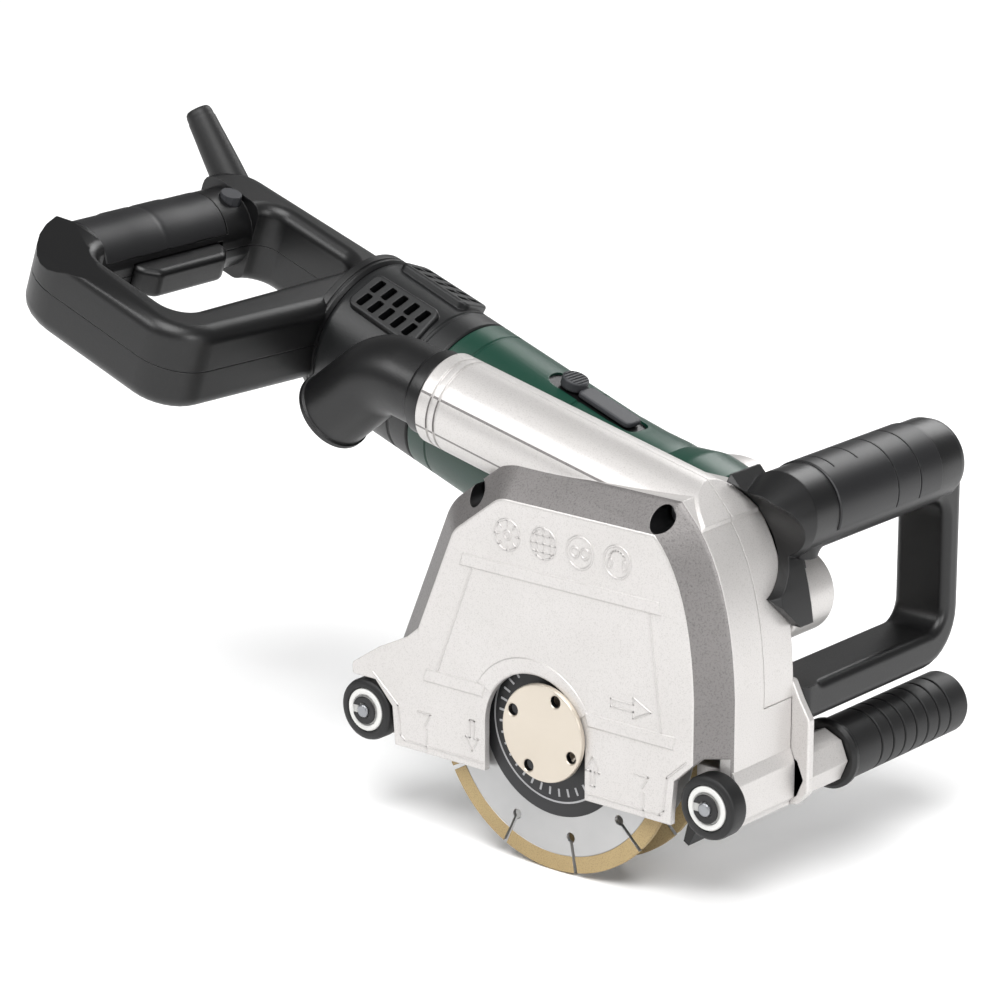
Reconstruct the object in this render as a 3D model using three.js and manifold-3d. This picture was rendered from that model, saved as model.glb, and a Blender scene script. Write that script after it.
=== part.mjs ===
// Twin-disc wall chaser with 125 mm diamond discs, in millimetres.
// +X is the cutting direction, +Y points away from the near cover, +Z is up.
// The origin is the centre of the clamp nut's outer face, and the spindle runs along Y.

import * as THREE from 'three';
import { mergeVertices } from 'three/addons/utils/BufferGeometryUtils.js';
import Module from 'manifold-3d';

const wasm = await Module();
wasm.setup();

// ---------------------------------------------------------------- driving dimensions

const GAP = 0.3; // between pieces that touch
const TURN = 2 * Math.PI;
const deg = THREE.MathUtils.degToRad;

// Discs and the stack that clamps them, from the near cover inwards.
const DISC = {
  radius: 62.5, thick: 2.2, nearY: 9.4, spacing: 24,
  segments: 10, slot: 1.8, keyhole: 2.2, slotDepth: 15.4, phase: deg(-79),
};
const SEAT_R = 11; // spindle seat for the discs
const NUT = { radius: 21.2, thick: 2.7, neck: 10, flange: 16, pins: 4, pinR: 2.5, pinCircle: 17 };
const THREAD_R = 7;
const SPINDLE_R = 8.5;
const SPACER = { radius: 16, count: 2 };

// Hood: face outline, then a chamfered shoulder out to the rim.
const COVER_Y = 3.2;
const WALL = 3;
const PARTING_Y = 34;
const HOOD_BACK_Y = 55.2;
const SKIRT_Z = -25;
const FACE = { rear: -82, rearTop: -50, rearTopZ: 77, crown: -25.5, top: 95.6, front: 75.2 };
const SHOULDER = { depth: 11, width: 13 };
const SLOT = { x: -6.3, z: -3.4, radius: 26.8 };

// Wheels and roller stand on one plane below the skirt.
const WHEEL = { radius: 13.7, hub: 9.4, width: 10, axleR: 3, y: 2.2, z: -13 };
const FRONT_X = 83.7;
const REAR_X = -99.4;
const FOOT_BACK_Y = 53;
const FIN = { y0: 53.3, y1: 57.5 };
const ROLLER = { y0: 88.3, y1: 171.5, grooves: 5, groove: 2.8, grooveDepth: 1.2, shaftR: 5, bossR: 12 };

// Extraction tube along the top of the hood, and the elbow that turns in its end.
const TUBE = { x: -80, z: 122.5, slope: deg(12.5), outer: 20.4, wall: 3, length: 152 };
const ELBOW = { wall: 2.2, spigot: 13, toBend: 33, bend: deg(50), leg: 41.5, corner: 12 };

// Swing pivot of the drive unit, at the front of the hood.
const PIVOT = { x: 66, z: 56, pinR: 5, lugR: 18.5, y0: 57, y1: 88 };
const SWING = deg(10);

// Drive unit: lay shaft, idler and the sloping motor axis.
const LAY = { x: 8, z: 57.2 };
const LAY_R = 6;
const MOTOR_SLOPE = deg(19.5);
const MOTOR_R = 35.2;
const MOTOR_Y = 58.8 + MOTOR_R; // the housing clears the hood whatever its radius
const CASE = {
  y0: 57, plate: 3.7, back: 90, end: 127, wall: 3, spindleR: 21.5, layR: 36, idlerR: 23,
};
const SPUR = { module: 2.2, spindle: 14, idler: 16, lay: 18, y0: 71, y1: 79, backlash: 0.1 };
const BEVEL = { pinion: 8, crown: 24, module: 2, face: 8.3, backlash: 0.1 };
const GREEN_START = 24;
const GREEN_END = 138;
const SWIVEL_S = 197;

// Rear handle loop, in the plane of the motor axis: x is across, s along the axis.
const LOOP = {
  nearOut: -120, nearIn: -103, farOut: 31, farIn: 14, front: 202, openFront: 221,
  openRear: 278, rear: 314, half: 20, wall: 3,
};

// Front handle: a D-shaped bow beside the hood.
const BOW = {
  x: 77, z: 96, gripR: 18.3, y0: 58.8, y1: 172, bar: 12, width: 27, low: 8, lowTop: 24,
};

const SEG = 24; // facets of the large rounds
const FINE = 16; // of the medium ones
const SMALL = 10; // of pins, screws and holes

// ---------------------------------------------------------------- materials

function material(color, roughness, metalness) {
  return new THREE.MeshStandardMaterial({ color, roughness, metalness });
}

const castSilver = material(0xd6d5d2, 0.45, 0.7);
const nutSteel = material(0xe4d9c6, 0.3, 0.9);
const discSteel = material(0xa9abae, 0.35, 0.9);
const gearSteel = material(0x8f9296, 0.35, 0.9);
const darkPlastic = material(0x25262a, 0.6, 0);
const greyPlastic = material(0x4a4b50, 0.6, 0);
const greenPlastic = material(0x165a43, 0.5, 0);
const softRubber = material(0x17171a, 0.85, 0);
const hubPlastic = material(0xdcdcdc, 0.5, 0);
const copper = material(0xa8623a, 0.4, 0.9);

// ---------------------------------------------------------------- solid helpers

// Turns a closed geometry into a solid, dropping collapsed triangles and facing it outwards.
function toSolid(geometry) {
  const bare = geometry.clone();
  bare.deleteAttribute('normal');
  bare.deleteAttribute('uv');
  const merged = mergeVertices(bare, 1e-4);
  const at = merged.attributes.position;
  const a = new THREE.Vector3();
  const b = new THREE.Vector3();
  const c = new THREE.Vector3();
  const kept = [];
  let volume = 0;
  for (let i = 0; i < merged.index.count; i += 3) {
    const [p, q, r] = [0, 1, 2].map((k) => merged.index.getX(i + k));
    if (p === q || q === r || r === p) continue;
    a.fromBufferAttribute(at, p);
    b.fromBufferAttribute(at, q);
    c.fromBufferAttribute(at, r);
    volume += a.dot(b.cross(c));
    kept.push(p, q, r);
  }
  if (volume < 0) kept.reverse();
  return new wasm.Manifold(new wasm.Mesh({
    numProp: 3,
    vertProperties: new Float32Array(at.array),
    triVerts: new Uint32Array(kept),
  }));
}

function toGeometry(solid) {
  const mesh = solid.getMesh();
  const geometry = new THREE.BufferGeometry();
  geometry.setAttribute('position', new THREE.BufferAttribute(mesh.vertProperties, 3));
  geometry.setIndex(new THREE.BufferAttribute(mesh.triVerts, 1));
  geometry.computeVertexNormals();
  return geometry;
}

function join(first, ...others) {
  return others.reduce((sum, other) => sum.add(other), first);
}

function cut(first, ...others) {
  return others.reduce((rest, other) => rest.subtract(other), first);
}

// A box given by its lower and upper corners.
function box([x0, y0, z0], [x1, y1, z1]) {
  const geometry = new THREE.BoxGeometry(x1 - x0, y1 - y0, z1 - z0);
  geometry.translate((x0 + x1) / 2, (y0 + y1) / 2, (z0 + z1) / 2);
  return toSolid(geometry);
}

function outline(points) {
  return new THREE.Shape(points.map(([x, y]) => new THREE.Vector2(x, y)));
}

// An outline in X and Z, extruded from y0 to y1.
function prismY(shape, y0, y1, curveSegments = 8) {
  const geometry = new THREE.ExtrudeGeometry(shape, {
    depth: y1 - y0, bevelEnabled: false, curveSegments,
  });
  geometry.rotateX(Math.PI / 2);
  geometry.translate(0, y1, 0);
  return toSolid(geometry);
}

// An outline in X and Y, extruded from z0 to z1, with chamfered edges.
function prismZ(shape, z0, z1, chamfer = 0, curveSegments = 6) {
  const geometry = new THREE.ExtrudeGeometry(shape, {
    depth: z1 - z0 - 2 * chamfer, bevelEnabled: chamfer > 0, bevelThickness: chamfer,
    bevelSize: chamfer, bevelOffset: -chamfer, bevelSegments: 1, curveSegments,
  });
  geometry.translate(0, 0, z0 + chamfer);
  return toSolid(geometry);
}

// A cylinder along Y at x, z.
function rodY(radius, y0, y1, x = 0, z = 0, segments = SEG) {
  const geometry = new THREE.CylinderGeometry(radius, radius, y1 - y0, segments);
  geometry.translate(x, (y0 + y1) / 2, z);
  return toSolid(geometry);
}

// A turned piece about Y: the profile is a closed list of [radius, y].
function turned(profile, x = 0, z = 0, segments = SEG) {
  const points = profile.map(([r, y]) => new THREE.Vector2(r, y));
  const closed = profile[0][0] > 0 ? [...points, points[0]] : points;
  const geometry = new THREE.LatheGeometry(closed, segments);
  geometry.translate(x, 0, z);
  return toSolid(geometry);
}

function ringY(outer, inner, y0, y1, x = 0, z = 0, segments = SEG) {
  return turned([[inner, y0], [outer, y0], [outer, y1], [inner, y1]], x, z, segments);
}

// A cylinder between two points.
function rodBetween(from, to, radius, segments = SEG) {
  const axis = new THREE.Vector3().subVectors(to, from);
  const geometry = new THREE.CylinderGeometry(radius, radius, axis.length(), segments);
  geometry.translate(0, axis.length() / 2, 0);
  geometry.applyQuaternion(
    new THREE.Quaternion().setFromUnitVectors(new THREE.Vector3(0, 1, 0), axis.normalize()),
  );
  geometry.translate(from.x, from.y, from.z);
  return toSolid(geometry);
}

// A large block whose face passes through a point, on the side that the normal points to.
function beyond(point, normal) {
  const size = 600;
  const geometry = new THREE.BoxGeometry(size, size, size);
  geometry.translate(0, 0, size / 2);
  geometry.applyQuaternion(
    new THREE.Quaternion().setFromUnitVectors(new THREE.Vector3(0, 0, 1), normal.clone().normalize()),
  );
  geometry.translate(point.x, point.y, point.z);
  return toSolid(geometry);
}

function node(parent, name, solid, look) {
  const mesh = new THREE.Mesh(toGeometry(solid), look);
  mesh.name = name;
  parent.add(mesh);
}

// ---------------------------------------------------------------- hood shells

// The face outline, running on below the skirt so that its chamfer stays off the bottom edge.
function faceShape() {
  const below = SKIRT_Z - 60;
  const shape = new THREE.Shape();
  shape.moveTo(FACE.rear, below);
  shape.lineTo(FACE.rear, 0);
  shape.lineTo(FACE.rearTop, FACE.rearTopZ);
  shape.lineTo(FACE.crown, FACE.top);
  shape.lineTo(FACE.front - 20.6, FACE.top);
  shape.quadraticCurveTo(FACE.front - 2.2, FACE.top - 17.6, FACE.front, 30);
  shape.lineTo(FACE.front, below);
  return shape;
}

// The hood's body from a face plane backwards, shoulder included.
function hoodBody(faceY, backY, width) {
  const depth = backY - faceY;
  const geometry = new THREE.ExtrudeGeometry(faceShape(), {
    depth, bevelEnabled: true, bevelThickness: SHOULDER.depth, bevelSize: width,
    bevelSegments: 1, curveSegments: 5,
  });
  geometry.rotateX(Math.PI / 2);
  geometry.translate(0, faceY + depth + SHOULDER.depth, 0);
  return toSolid(geometry);
}

const tubeStart = new THREE.Vector3(TUBE.x, PARTING_Y, TUBE.z);
const tubeForward = new THREE.Vector3(Math.cos(TUBE.slope), 0, -Math.sin(TUBE.slope));
const alongTube = (distance) => tubeStart.clone().addScaledVector(tubeForward, distance);

// The top front corner, where the tube runs out into the hood's sloping nose.
const noseCut = () => beyond(new THREE.Vector3(58, PARTING_Y, 113), new THREE.Vector3(0.735, 0, 0.678));

function hoodOuter() {
  const below = box([-300, -50, SKIRT_Z - 200], [300, 200, SKIRT_Z]);
  const behind = box([-300, HOOD_BACK_Y, -200], [300, 400, 300]);
  const tube = cut(rodBetween(alongTube(0), alongTube(TUBE.length), TUBE.outer), noseCut());
  return cut(join(hoodBody(COVER_Y, HOOD_BACK_Y, SHOULDER.width), tube), below, behind);
}

function hoodInner() {
  const body = cut(
    hoodBody(COVER_Y + WALL, HOOD_BACK_Y, SHOULDER.width - WALL),
    box([-300, HOOD_BACK_Y - WALL, -200], [300, 400, 300]),
  );
  return join(body, rodBetween(alongTube(-5), alongTube(TUBE.length - 20), TUBE.outer - TUBE.wall));
}

const screwPlaces = [[-43, 93], [55, 101.5]];
const SCREW = { head: 4.6, shank: 1.7, headY: 20, headThick: 3.6, seatY: 24, end: 46, recess: 5.2 };

const REAR_BLOCK = [[-107, SKIRT_Z], [-70, SKIRT_Z], [-70, 24], [-92, 16], [-107, 5]];
const REAR_EAR = [[-70, SKIRT_Z], [-70, 30], [-76, 25], [-92, 17], [-107, 7], [-107, 2],
  [-94, 2], [-84.5, -8], [-83, SKIRT_Z]];
const FOOT = [[70, SKIRT_Z], [86.5, SKIRT_Z], [90.5, -21], [90.5, -6], [FACE.front + 13, 0], [70, 0]];
const FOOT_STEP_Z = 21.7;

// Room for a wheel, in front of the block that carries its axle.
function wheelRoom(points) {
  return prismY(outline(points), -20, WHEEL.y + WHEEL.width + 1.2);
}

function frontWheelRoom() {
  return wheelRoom([[65, SKIRT_Z - 10], [65, -22], [66.5, -5.7], [78.7, 5.8], [130, 5.8], [130, SKIRT_Z - 10]]);
}

function rearWheelRoom() {
  return wheelRoom([[-83, SKIRT_Z - 10], [-83, SKIRT_Z], [-84.5, -8], [-94, 2], [-130, 2], [-130, SKIRT_Z - 10]]);
}

// The opening in the near cover that shows the clamp nut: a round top, open at the bottom.
function faceSlot() {
  const hole = rodY(SLOT.radius, -10, PARTING_Y - 10, SLOT.x, SLOT.z, 32);
  const way = box([SLOT.x - SLOT.radius, -10, -100], [SLOT.x + SLOT.radius, PARTING_Y - 10, SLOT.z]);
  return join(hole, way);
}

function footFront() {
  const stripe = box([FACE.front + 6, PARTING_Y - 1, SKIRT_Z], [FACE.front + 13, FOOT_BACK_Y, FOOT_STEP_Z]);
  return join(prismY(outline(FOOT), WHEEL.y + WHEEL.width + 1.8, FOOT_BACK_Y), stripe);
}

function hoodCover() {
  const outer = hoodOuter();
  const blocks = join(
    prismY(outline(REAR_BLOCK), WHEEL.y + WHEEL.width + 1.8, PARTING_Y),
    prismY(outline(REAR_EAR), COVER_Y, COVER_Y + WALL),
  );
  const shell = cut(outer, hoodInner(), box([-300, PARTING_Y, -200], [300, 200, 300]));
  const bosses = screwPlaces.map(([x, z]) =>
    rodY(7, COVER_Y, PARTING_Y, x, z, SMALL).intersect(outer));
  const recesses = screwPlaces.map(([x, z]) => join(
    rodY(SCREW.recess, -10, SCREW.seatY, x, z, FINE),
    rodY(SCREW.shank + 0.5, -10, PARTING_Y + 1, x, z, 8),
  ));
  const axleHoles = [FRONT_X, REAR_X].map((x) =>
    rodY(WHEEL.axleR + GAP, 0, PARTING_Y - 9.6, x, WHEEL.z, SMALL));
  return cut(
    join(shell, blocks, footFront(), ...bosses),
    ...recesses, ...axleHoles, faceSlot(), frontWheelRoom(), rearWheelRoom(), discRoom(),
  );
}

// Clearance around both discs through the whole swing, inside the blocks only.
function discRoom() {
  return join(...[0, 0.5, 1].map((share) => {
    const centre = swung(0, 0, share * SWING);
    return rodY(DISC.radius + 1.5, COVER_Y + WALL, HOOD_BACK_Y - WALL, centre.x, centre.z, 32);
  }));
}

// Where a point of the drive unit gets to when it has swung up about the pivot.
function swung(x, z, angle) {
  const rel = new THREE.Vector2(x - PIVOT.x, z - PIVOT.z).rotateAround(new THREE.Vector2(), -angle);
  return { x: rel.x + PIVOT.x, z: rel.y + PIVOT.z };
}

// The far wall's slot: the spindle's path through the swing, open at the bottom.
function backSlot() {
  const radius = SPINDLE_R + 1.6;
  const steps = [0, 0.25, 0.5, 0.75, 1].map((share) => swung(0, 0, share * SWING));
  const rounds = steps.map((at) => rodY(radius, HOOD_BACK_Y - 5, HOOD_BACK_Y + 5, at.x, at.z, 16));
  const way = box([steps[4].x - radius, HOOD_BACK_Y - 5, -60], [radius, HOOD_BACK_Y + 5, 0]);
  return join(...rounds, way);
}

function hoodBack() {
  const outer = hoodOuter();
  const shell = cut(outer, hoodInner(), box([-300, -50, -200], [300, PARTING_Y + GAP, 300]));
  const bosses = screwPlaces.map(([x, z]) =>
    rodY(7, PARTING_Y + GAP, HOOD_BACK_Y - 1, x, z, SMALL).intersect(outer));
  const screwHoles = screwPlaces.map(([x, z]) =>
    rodY(SCREW.shank + GAP, PARTING_Y, SCREW.end + 1, x, z, 8));
  const fin = prismY(outline([[58, SKIRT_Z], [91, SKIRT_Z], [97, -19], [97, 13], [92, 21],
    [88, 29], [62, 29], [50, 10], [50, SKIRT_Z]]), FIN.y0, FIN.y1);
  const rollerBoss = rodY(ROLLER.bossR, FIN.y0, ROLLER.y0 - 4.3, FRONT_X, WHEEL.z, 8);
  const pivotBoss = rodY(13, HOOD_BACK_Y - WALL, PIVOT.y0 - GAP, PIVOT.x, PIVOT.z, FINE);
  const footRoom = box([FACE.front - 8, -50, -60], [200, FIN.y0, FOOT_STEP_Z + GAP]);
  const body = join(cut(shell, footRoom), fin, rollerBoss, pivotBoss, ...bosses);
  return cut(
    body, ...screwHoles, backSlot(),
    rodY(PIVOT.pinR + GAP, 0, 100, PIVOT.x, PIVOT.z, SMALL),
    rodY(ROLLER.shaftR + GAP, ROLLER.y0 - 30, 120, FRONT_X, WHEEL.z, SMALL),
  );
}

function hoodScrew([x, z]) {
  const head = rodY(SCREW.head, SCREW.headY, SCREW.seatY - GAP, x, z, SMALL);
  return join(head, rodY(SCREW.shank, SCREW.headY + 1, SCREW.end, x, z, 8));
}

// The rubber lip that hangs in front of the discs.
function dustFlap() {
  return prismY(outline([[63.5, -35.5], [66, -37], [71.5, SKIRT_Z - 1.5], [71.5, SKIRT_Z - GAP],
    [66, SKIRT_Z - GAP]]), WHEEL.y + WHEEL.width + 2, FOOT_BACK_Y - 4);
}

// ---------------------------------------------------------------- wheels and roller

function axle(x) {
  const end = WHEEL.y - 2;
  return turned([[0, end], [WHEEL.axleR, end], [WHEEL.axleR, PARTING_Y - 10], [0, PARTING_Y - 10]],
    x, WHEEL.z, SMALL);
}

// The open retaining ring in front of the wheel's hub.
function clip(x) {
  const ring = ringY(6, WHEEL.axleR + GAP, WHEEL.y - 1.2, WHEEL.y - GAP, x, WHEEL.z, 16);
  return cut(ring, box([x - 10, -10, WHEEL.z - 2.2], [x - 1, 10, WHEEL.z + 2.2]));
}

function tyre(x) {
  const { radius, hub, width, y } = WHEEL;
  return turned([[hub + GAP, y + 0.6], [radius - 2, y], [radius, y + 2.4], [radius, y + width - 2.4],
    [radius - 2, y + width], [hub + GAP, y + width]], x, WHEEL.z, 24);
}

function wheelHub(x) {
  return ringY(WHEEL.hub, WHEEL.axleR + GAP, WHEEL.y, WHEEL.y + WHEEL.width, x, WHEEL.z, FINE);
}

function supportRoller() {
  const { y0, y1, grooves, groove, grooveDepth, shaftR } = ROLLER;
  const r = WHEEL.radius;
  const pitch = (y1 - y0 - 22) / grooves;
  const profile = [[shaftR + GAP, y0], [r - 1.5, y0], [r, y0 + 1.5]];
  for (let i = 0; i < grooves; i += 1) {
    const at = y0 + 18 + i * pitch;
    profile.push([r, at], [r - grooveDepth, at + groove / 2], [r, at + groove]);
  }
  profile.push([r, y1 - 2], [r - 2, y1], [shaftR + GAP, y1]);
  return turned(profile, FRONT_X, WHEEL.z, FINE);
}

function rollerShaft() {
  const { y0, y1, shaftR } = ROLLER;
  return turned([[0, y0 - 26], [shaftR, y0 - 26], [shaftR, y1 + GAP], [9, y1 + GAP], [9, y1 + 2.6],
    [0, y1 + 2.6]], FRONT_X, WHEEL.z, 16);
}

function rollerCollar() {
  return ringY(15.2, ROLLER.shaftR + GAP, ROLLER.y0 - 4, ROLLER.y0 - GAP, FRONT_X, WHEEL.z, FINE);
}

// ---------------------------------------------------------------- extraction elbow

function elbowPath() {
  const back = tubeForward.clone().negate();
  const down = new THREE.Vector3(-Math.sin(TUBE.slope), 0, -Math.cos(TUBE.slope));
  const out = back.clone().multiplyScalar(Math.cos(ELBOW.bend))
    .addScaledVector(down, Math.sin(ELBOW.bend));
  const corner = alongTube(-ELBOW.toBend);
  const before = alongTube(-(ELBOW.toBend - ELBOW.corner));
  const after = corner.clone().addScaledVector(out, ELBOW.corner);
  const path = new THREE.CurvePath();
  path.add(new THREE.LineCurve3(alongTube(ELBOW.spigot), before));
  path.add(new THREE.QuadraticBezierCurve3(before, corner, after));
  path.add(new THREE.LineCurve3(after, corner.clone().addScaledVector(out, ELBOW.leg)));
  return path;
}

function extractionElbow() {
  const radius = TUBE.outer - TUBE.wall - GAP;
  const ring = new THREE.Shape().absarc(0, 0, radius, 0, TURN, false);
  ring.holes.push(new THREE.Path().absarc(0, 0, radius - ELBOW.wall, 0, TURN, true));
  return toSolid(new THREE.ExtrudeGeometry(ring, {
    steps: 9, extrudePath: elbowPath(), curveSegments: 8,
  }));
}

// ---------------------------------------------------------------- front handle

function roundedRect(x0, y0, x1, y1, radius) {
  const shape = new THREE.Shape();
  shape.moveTo(x0 + radius, y0);
  shape.lineTo(x1 - radius, y0);
  shape.quadraticCurveTo(x1, y0, x1, y0 + radius);
  shape.lineTo(x1, y1 - radius);
  shape.quadraticCurveTo(x1, y1, x1 - radius, y1);
  shape.lineTo(x0 + radius, y1);
  shape.quadraticCurveTo(x0, y1, x0, y1 - radius);
  shape.lineTo(x0, y0 + radius);
  shape.quadraticCurveTo(x0, y0, x0 + radius, y0);
  return shape;
}

// An outline in Y and Z, extruded along X, with chamfered edges.
function prismX(shape, x0, x1, chamfer) {
  const geometry = new THREE.ExtrudeGeometry(shape, {
    depth: x1 - x0 - 2 * chamfer, bevelEnabled: true, bevelThickness: chamfer,
    bevelSize: chamfer, bevelOffset: -chamfer, bevelSegments: 1, curveSegments: 4,
  });
  geometry.translate(0, 0, chamfer);
  geometry.applyMatrix4(new THREE.Matrix4().makeBasis(
    new THREE.Vector3(0, 1, 0), new THREE.Vector3(0, 0, 1), new THREE.Vector3(1, 0, 0),
  ));
  geometry.translate(x0, 0, 0);
  return toSolid(geometry);
}

// The saddle plate that hugs the hood's top front edge.
function saddle() {
  const thick = 5;
  const y0 = PARTING_Y + 6;
  const band = cut(
    hoodBody(COVER_Y, HOOD_BACK_Y + 40, SHOULDER.width + thick),
    hoodBody(COVER_Y, HOOD_BACK_Y + 40, SHOULDER.width + GAP),
    box([-300, -50, -300], [300, y0, 300]),
    box([-300, BOW.y0 + 4, -300], [300, 400, 300]),
    box([-300, -50, -300], [62, 400, 300]),
    box([-300, -50, -300], [300, 400, 52]),
    beyond(new THREE.Vector3(88, y0, 66), new THREE.Vector3(0, -1, -1)),
    rodBetween(alongTube(0), alongTube(TUBE.length + 40), TUBE.outer + GAP),
    box([-300, -50, 50], [300, HOOD_BACK_Y + GAP, 300]).intersect(
      hoodBody(COVER_Y, HOOD_BACK_Y, SHOULDER.width + GAP)),
  );
  const web = cut(
    prismY(outline([[63, 108], [70, 107], [80, 95], [88, 80], [92, 66], [88.5, 66], [84, 78],
      [63, 78]]), BOW.y0, BOW.y0 + 5),
    rodY(PIVOT.lugR + 1.5, 0, 200, PIVOT.x, PIVOT.z),
  );
  return join(band, web);
}

function frontHandle() {
  const { x, z, gripR, y0, y1, bar, width, low, lowTop } = BOW;
  const outer = roundedRect(y0, low, y1, z + 15, 20);
  outer.holes.push(roundedRect(y0 + 9, lowTop, y1 - bar, z - 15, 7));
  const bow = prismX(outer, x - width / 2, x + width / 2, 4);
  const lugRoom = rodY(PIVOT.lugR + 1.5, 0, y0 + 42, PIVOT.x, PIVOT.z);
  const openHood = box([0, y0 - 20, lowTop + 6], [200, y0 + 11, z - gripR + 1]);
  const padRoom = cut(
    rodY(gripR + 5, y0 + 15, y1 - 24, x, z, FINE),
    rodY(gripR - 1.4, 0, 300, x, z, SEG),
    box([x - 60, 0, z - 60], [x + 60, 300, z - 7]),
  );
  const grip = rodY(gripR, y0, y1 - 6, x, z, SEG);
  return cut(join(cut(bow, openHood), grip, saddle()), lugRoom, padRoom);
}

function frontPad() {
  const { x, z, gripR, y0, y1 } = BOW;
  return cut(
    ringY(gripR + 0.8, gripR - 1.4 + GAP, y0 + 15 + GAP, y1 - 24 - GAP, x, z, SEG),
    box([x - 60, 0, z - 60], [x + 60, 300, z - 7 + GAP]),
  );
}

// ---------------------------------------------------------------- discs, spindle and stack

// A disc whose rim is split into segments by narrow slots, each ending in a round keyhole.
function disc(y) {
  const { radius, thick, segments, slot, keyhole, slotDepth, phase } = DISC;
  const shape = new THREE.Shape();
  const pitch = TURN / segments;
  const half = slot / 2 / radius;
  const inner = radius - slotDepth;
  for (let i = 0; i < segments; i += 1) {
    const angle = phase + i * pitch;
    const turn = new THREE.Vector2(Math.cos(angle), Math.sin(angle));
    const side = new THREE.Vector2(-turn.y, turn.x);
    const at = (r, aside) => turn.clone().multiplyScalar(r).addScaledVector(side, aside);
    const points = [at(radius, -slot / 2), at(inner + keyhole, -slot / 2),
      at(inner, -keyhole), at(inner - keyhole, 0), at(inner, keyhole),
      at(inner + keyhole, slot / 2), at(radius, slot / 2)];
    for (let k = 1; k < 4; k += 1) {
      const a = angle + half + (k * (pitch - 2 * half)) / 4;
      points.push(new THREE.Vector2(radius * Math.cos(a), radius * Math.sin(a)));
    }
    points.forEach((p, k) => (i + k === 0 ? shape.moveTo(p.x, p.y) : shape.lineTo(p.x, p.y)));
  }
  shape.holes.push(new THREE.Path().absarc(0, 0, SEAT_R + GAP, 0, TURN, true));
  return prismY(shape, y - thick / 2, y + thick / 2);
}

const nearFace = DISC.nearY - DISC.thick / 2;
const farY = DISC.nearY + DISC.spacing;
const farBack = farY + DISC.thick / 2;

function clampNut() {
  const { radius, thick, neck, flange, pins, pinR, pinCircle } = NUT;
  const body = turned([[0, 0], [radius - 0.6, 0], [radius, 0.6], [radius, thick], [neck, thick],
    [neck, COVER_Y + WALL + 0.5], [flange, COVER_Y + WALL + 0.5], [flange, nearFace - GAP],
    [0, nearFace - GAP]], 0, 0, SEG);
  const holes = [];
  for (let i = 0; i < pins; i += 1) {
    const angle = deg(65.4) + (i * TURN) / pins;
    holes.push(rodY(pinR, -5, thick + 5, pinCircle * Math.cos(angle), pinCircle * Math.sin(angle), 10));
  }
  return cut(body, rodY(THREAD_R + GAP, 1.2, 20, 0, 0, FINE), ...holes);
}

function spindle() {
  const seatEnd = farBack + 1;
  return turned([[0, 1.8], [THREAD_R, 1.8], [THREAD_R, nearFace], [SEAT_R, nearFace],
    [SEAT_R, seatEnd], [SPINDLE_R, seatEnd], [SPINDLE_R, CASE.back - 5], [0, CASE.back - 5]], 0, 0, FINE);
}

function supportFlange() {
  const start = farBack + GAP;
  return turned([[SEAT_R + GAP, start], [NUT.flange, start], [NUT.flange, start + 3],
    [SEAT_R + 1.5, start + 6], [SEAT_R + 1.5, HOOD_BACK_Y - WALL - 1.5],
    [SPINDLE_R + GAP, HOOD_BACK_Y - WALL - 1.5], [SPINDLE_R + GAP, farBack + 1 + GAP],
    [SEAT_R + GAP, farBack + 1 + GAP]], 0, 0, FINE);
}

function spacer(index) {
  const from = DISC.nearY + DISC.thick / 2;
  const step = (DISC.spacing - DISC.thick) / SPACER.count;
  return ringY(SPACER.radius, SEAT_R + GAP, from + index * step + GAP / 2,
    from + (index + 1) * step - GAP / 2, 0, 0, FINE);
}

function bearing(outer, inner, y0, y1, x, z) {
  return ringY(outer, inner + GAP, y0, y1, x, z, 16);
}

// ---------------------------------------------------------------- gears

// A spur gear's outline: a tapering tooth at the phase angle and at each pitch after it.
function gearOutline(teeth, module, phase, backlash) {
  const pitchR = (teeth * module) / 2;
  const root = pitchR - module * 1.15;
  const tip = pitchR + module * 0.85;
  const pitch = TURN / teeth;
  const half = (pitch / 4) * (1 - 2 * backlash);
  const lean = 0.36 / pitchR;
  const shape = new THREE.Shape();
  for (let i = 0; i < teeth; i += 1) {
    const at = phase + i * pitch;
    const rootHalf = half + lean * (pitchR - root);
    const tipHalf = half - lean * (tip - pitchR);
    [[root, -rootHalf], [tip, -tipHalf], [tip, tipHalf], [root, rootHalf]].forEach(([r, turn], k) => {
      const x = r * Math.cos(at + turn);
      const y = r * Math.sin(at + turn);
      if (i === 0 && k === 0) shape.moveTo(x, y);
      else shape.lineTo(x, y);
    });
  }
  return shape;
}

function spurGear(teeth, phase, x, z, bore) {
  const shape = gearOutline(teeth, SPUR.module, phase, SPUR.backlash);
  const gear = prismY(shape, SPUR.y0, SPUR.y1).translate([x, 0, z]);
  return bore > 0 ? cut(gear, rodY(bore, 0, 200, x, z, FINE)) : gear;
}

const pitchRadius = (teeth) => (teeth * SPUR.module) / 2;

// The idler sits in front of the line from the spindle to the lay shaft, at both centre distances.
function idlerPlace() {
  const toIdler = pitchRadius(SPUR.spindle) + pitchRadius(SPUR.idler);
  const toLay = pitchRadius(SPUR.idler) + pitchRadius(SPUR.lay);
  const apart = Math.hypot(LAY.x, LAY.z);
  const along = (toIdler ** 2 - toLay ** 2 + apart ** 2) / (2 * apart);
  const aside = Math.sqrt(toIdler ** 2 - along ** 2);
  const [ux, uz] = [LAY.x / apart, LAY.z / apart];
  return { x: along * ux + aside * uz, z: along * uz - aside * ux };
}

const IDLER = idlerPlace();
const towardIdler = Math.atan2(IDLER.z, IDLER.x);
const towardLay = Math.atan2(LAY.z - IDLER.z, LAY.x - IDLER.x);
const idlerPhase = towardIdler + Math.PI + Math.PI / SPUR.idler;

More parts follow.
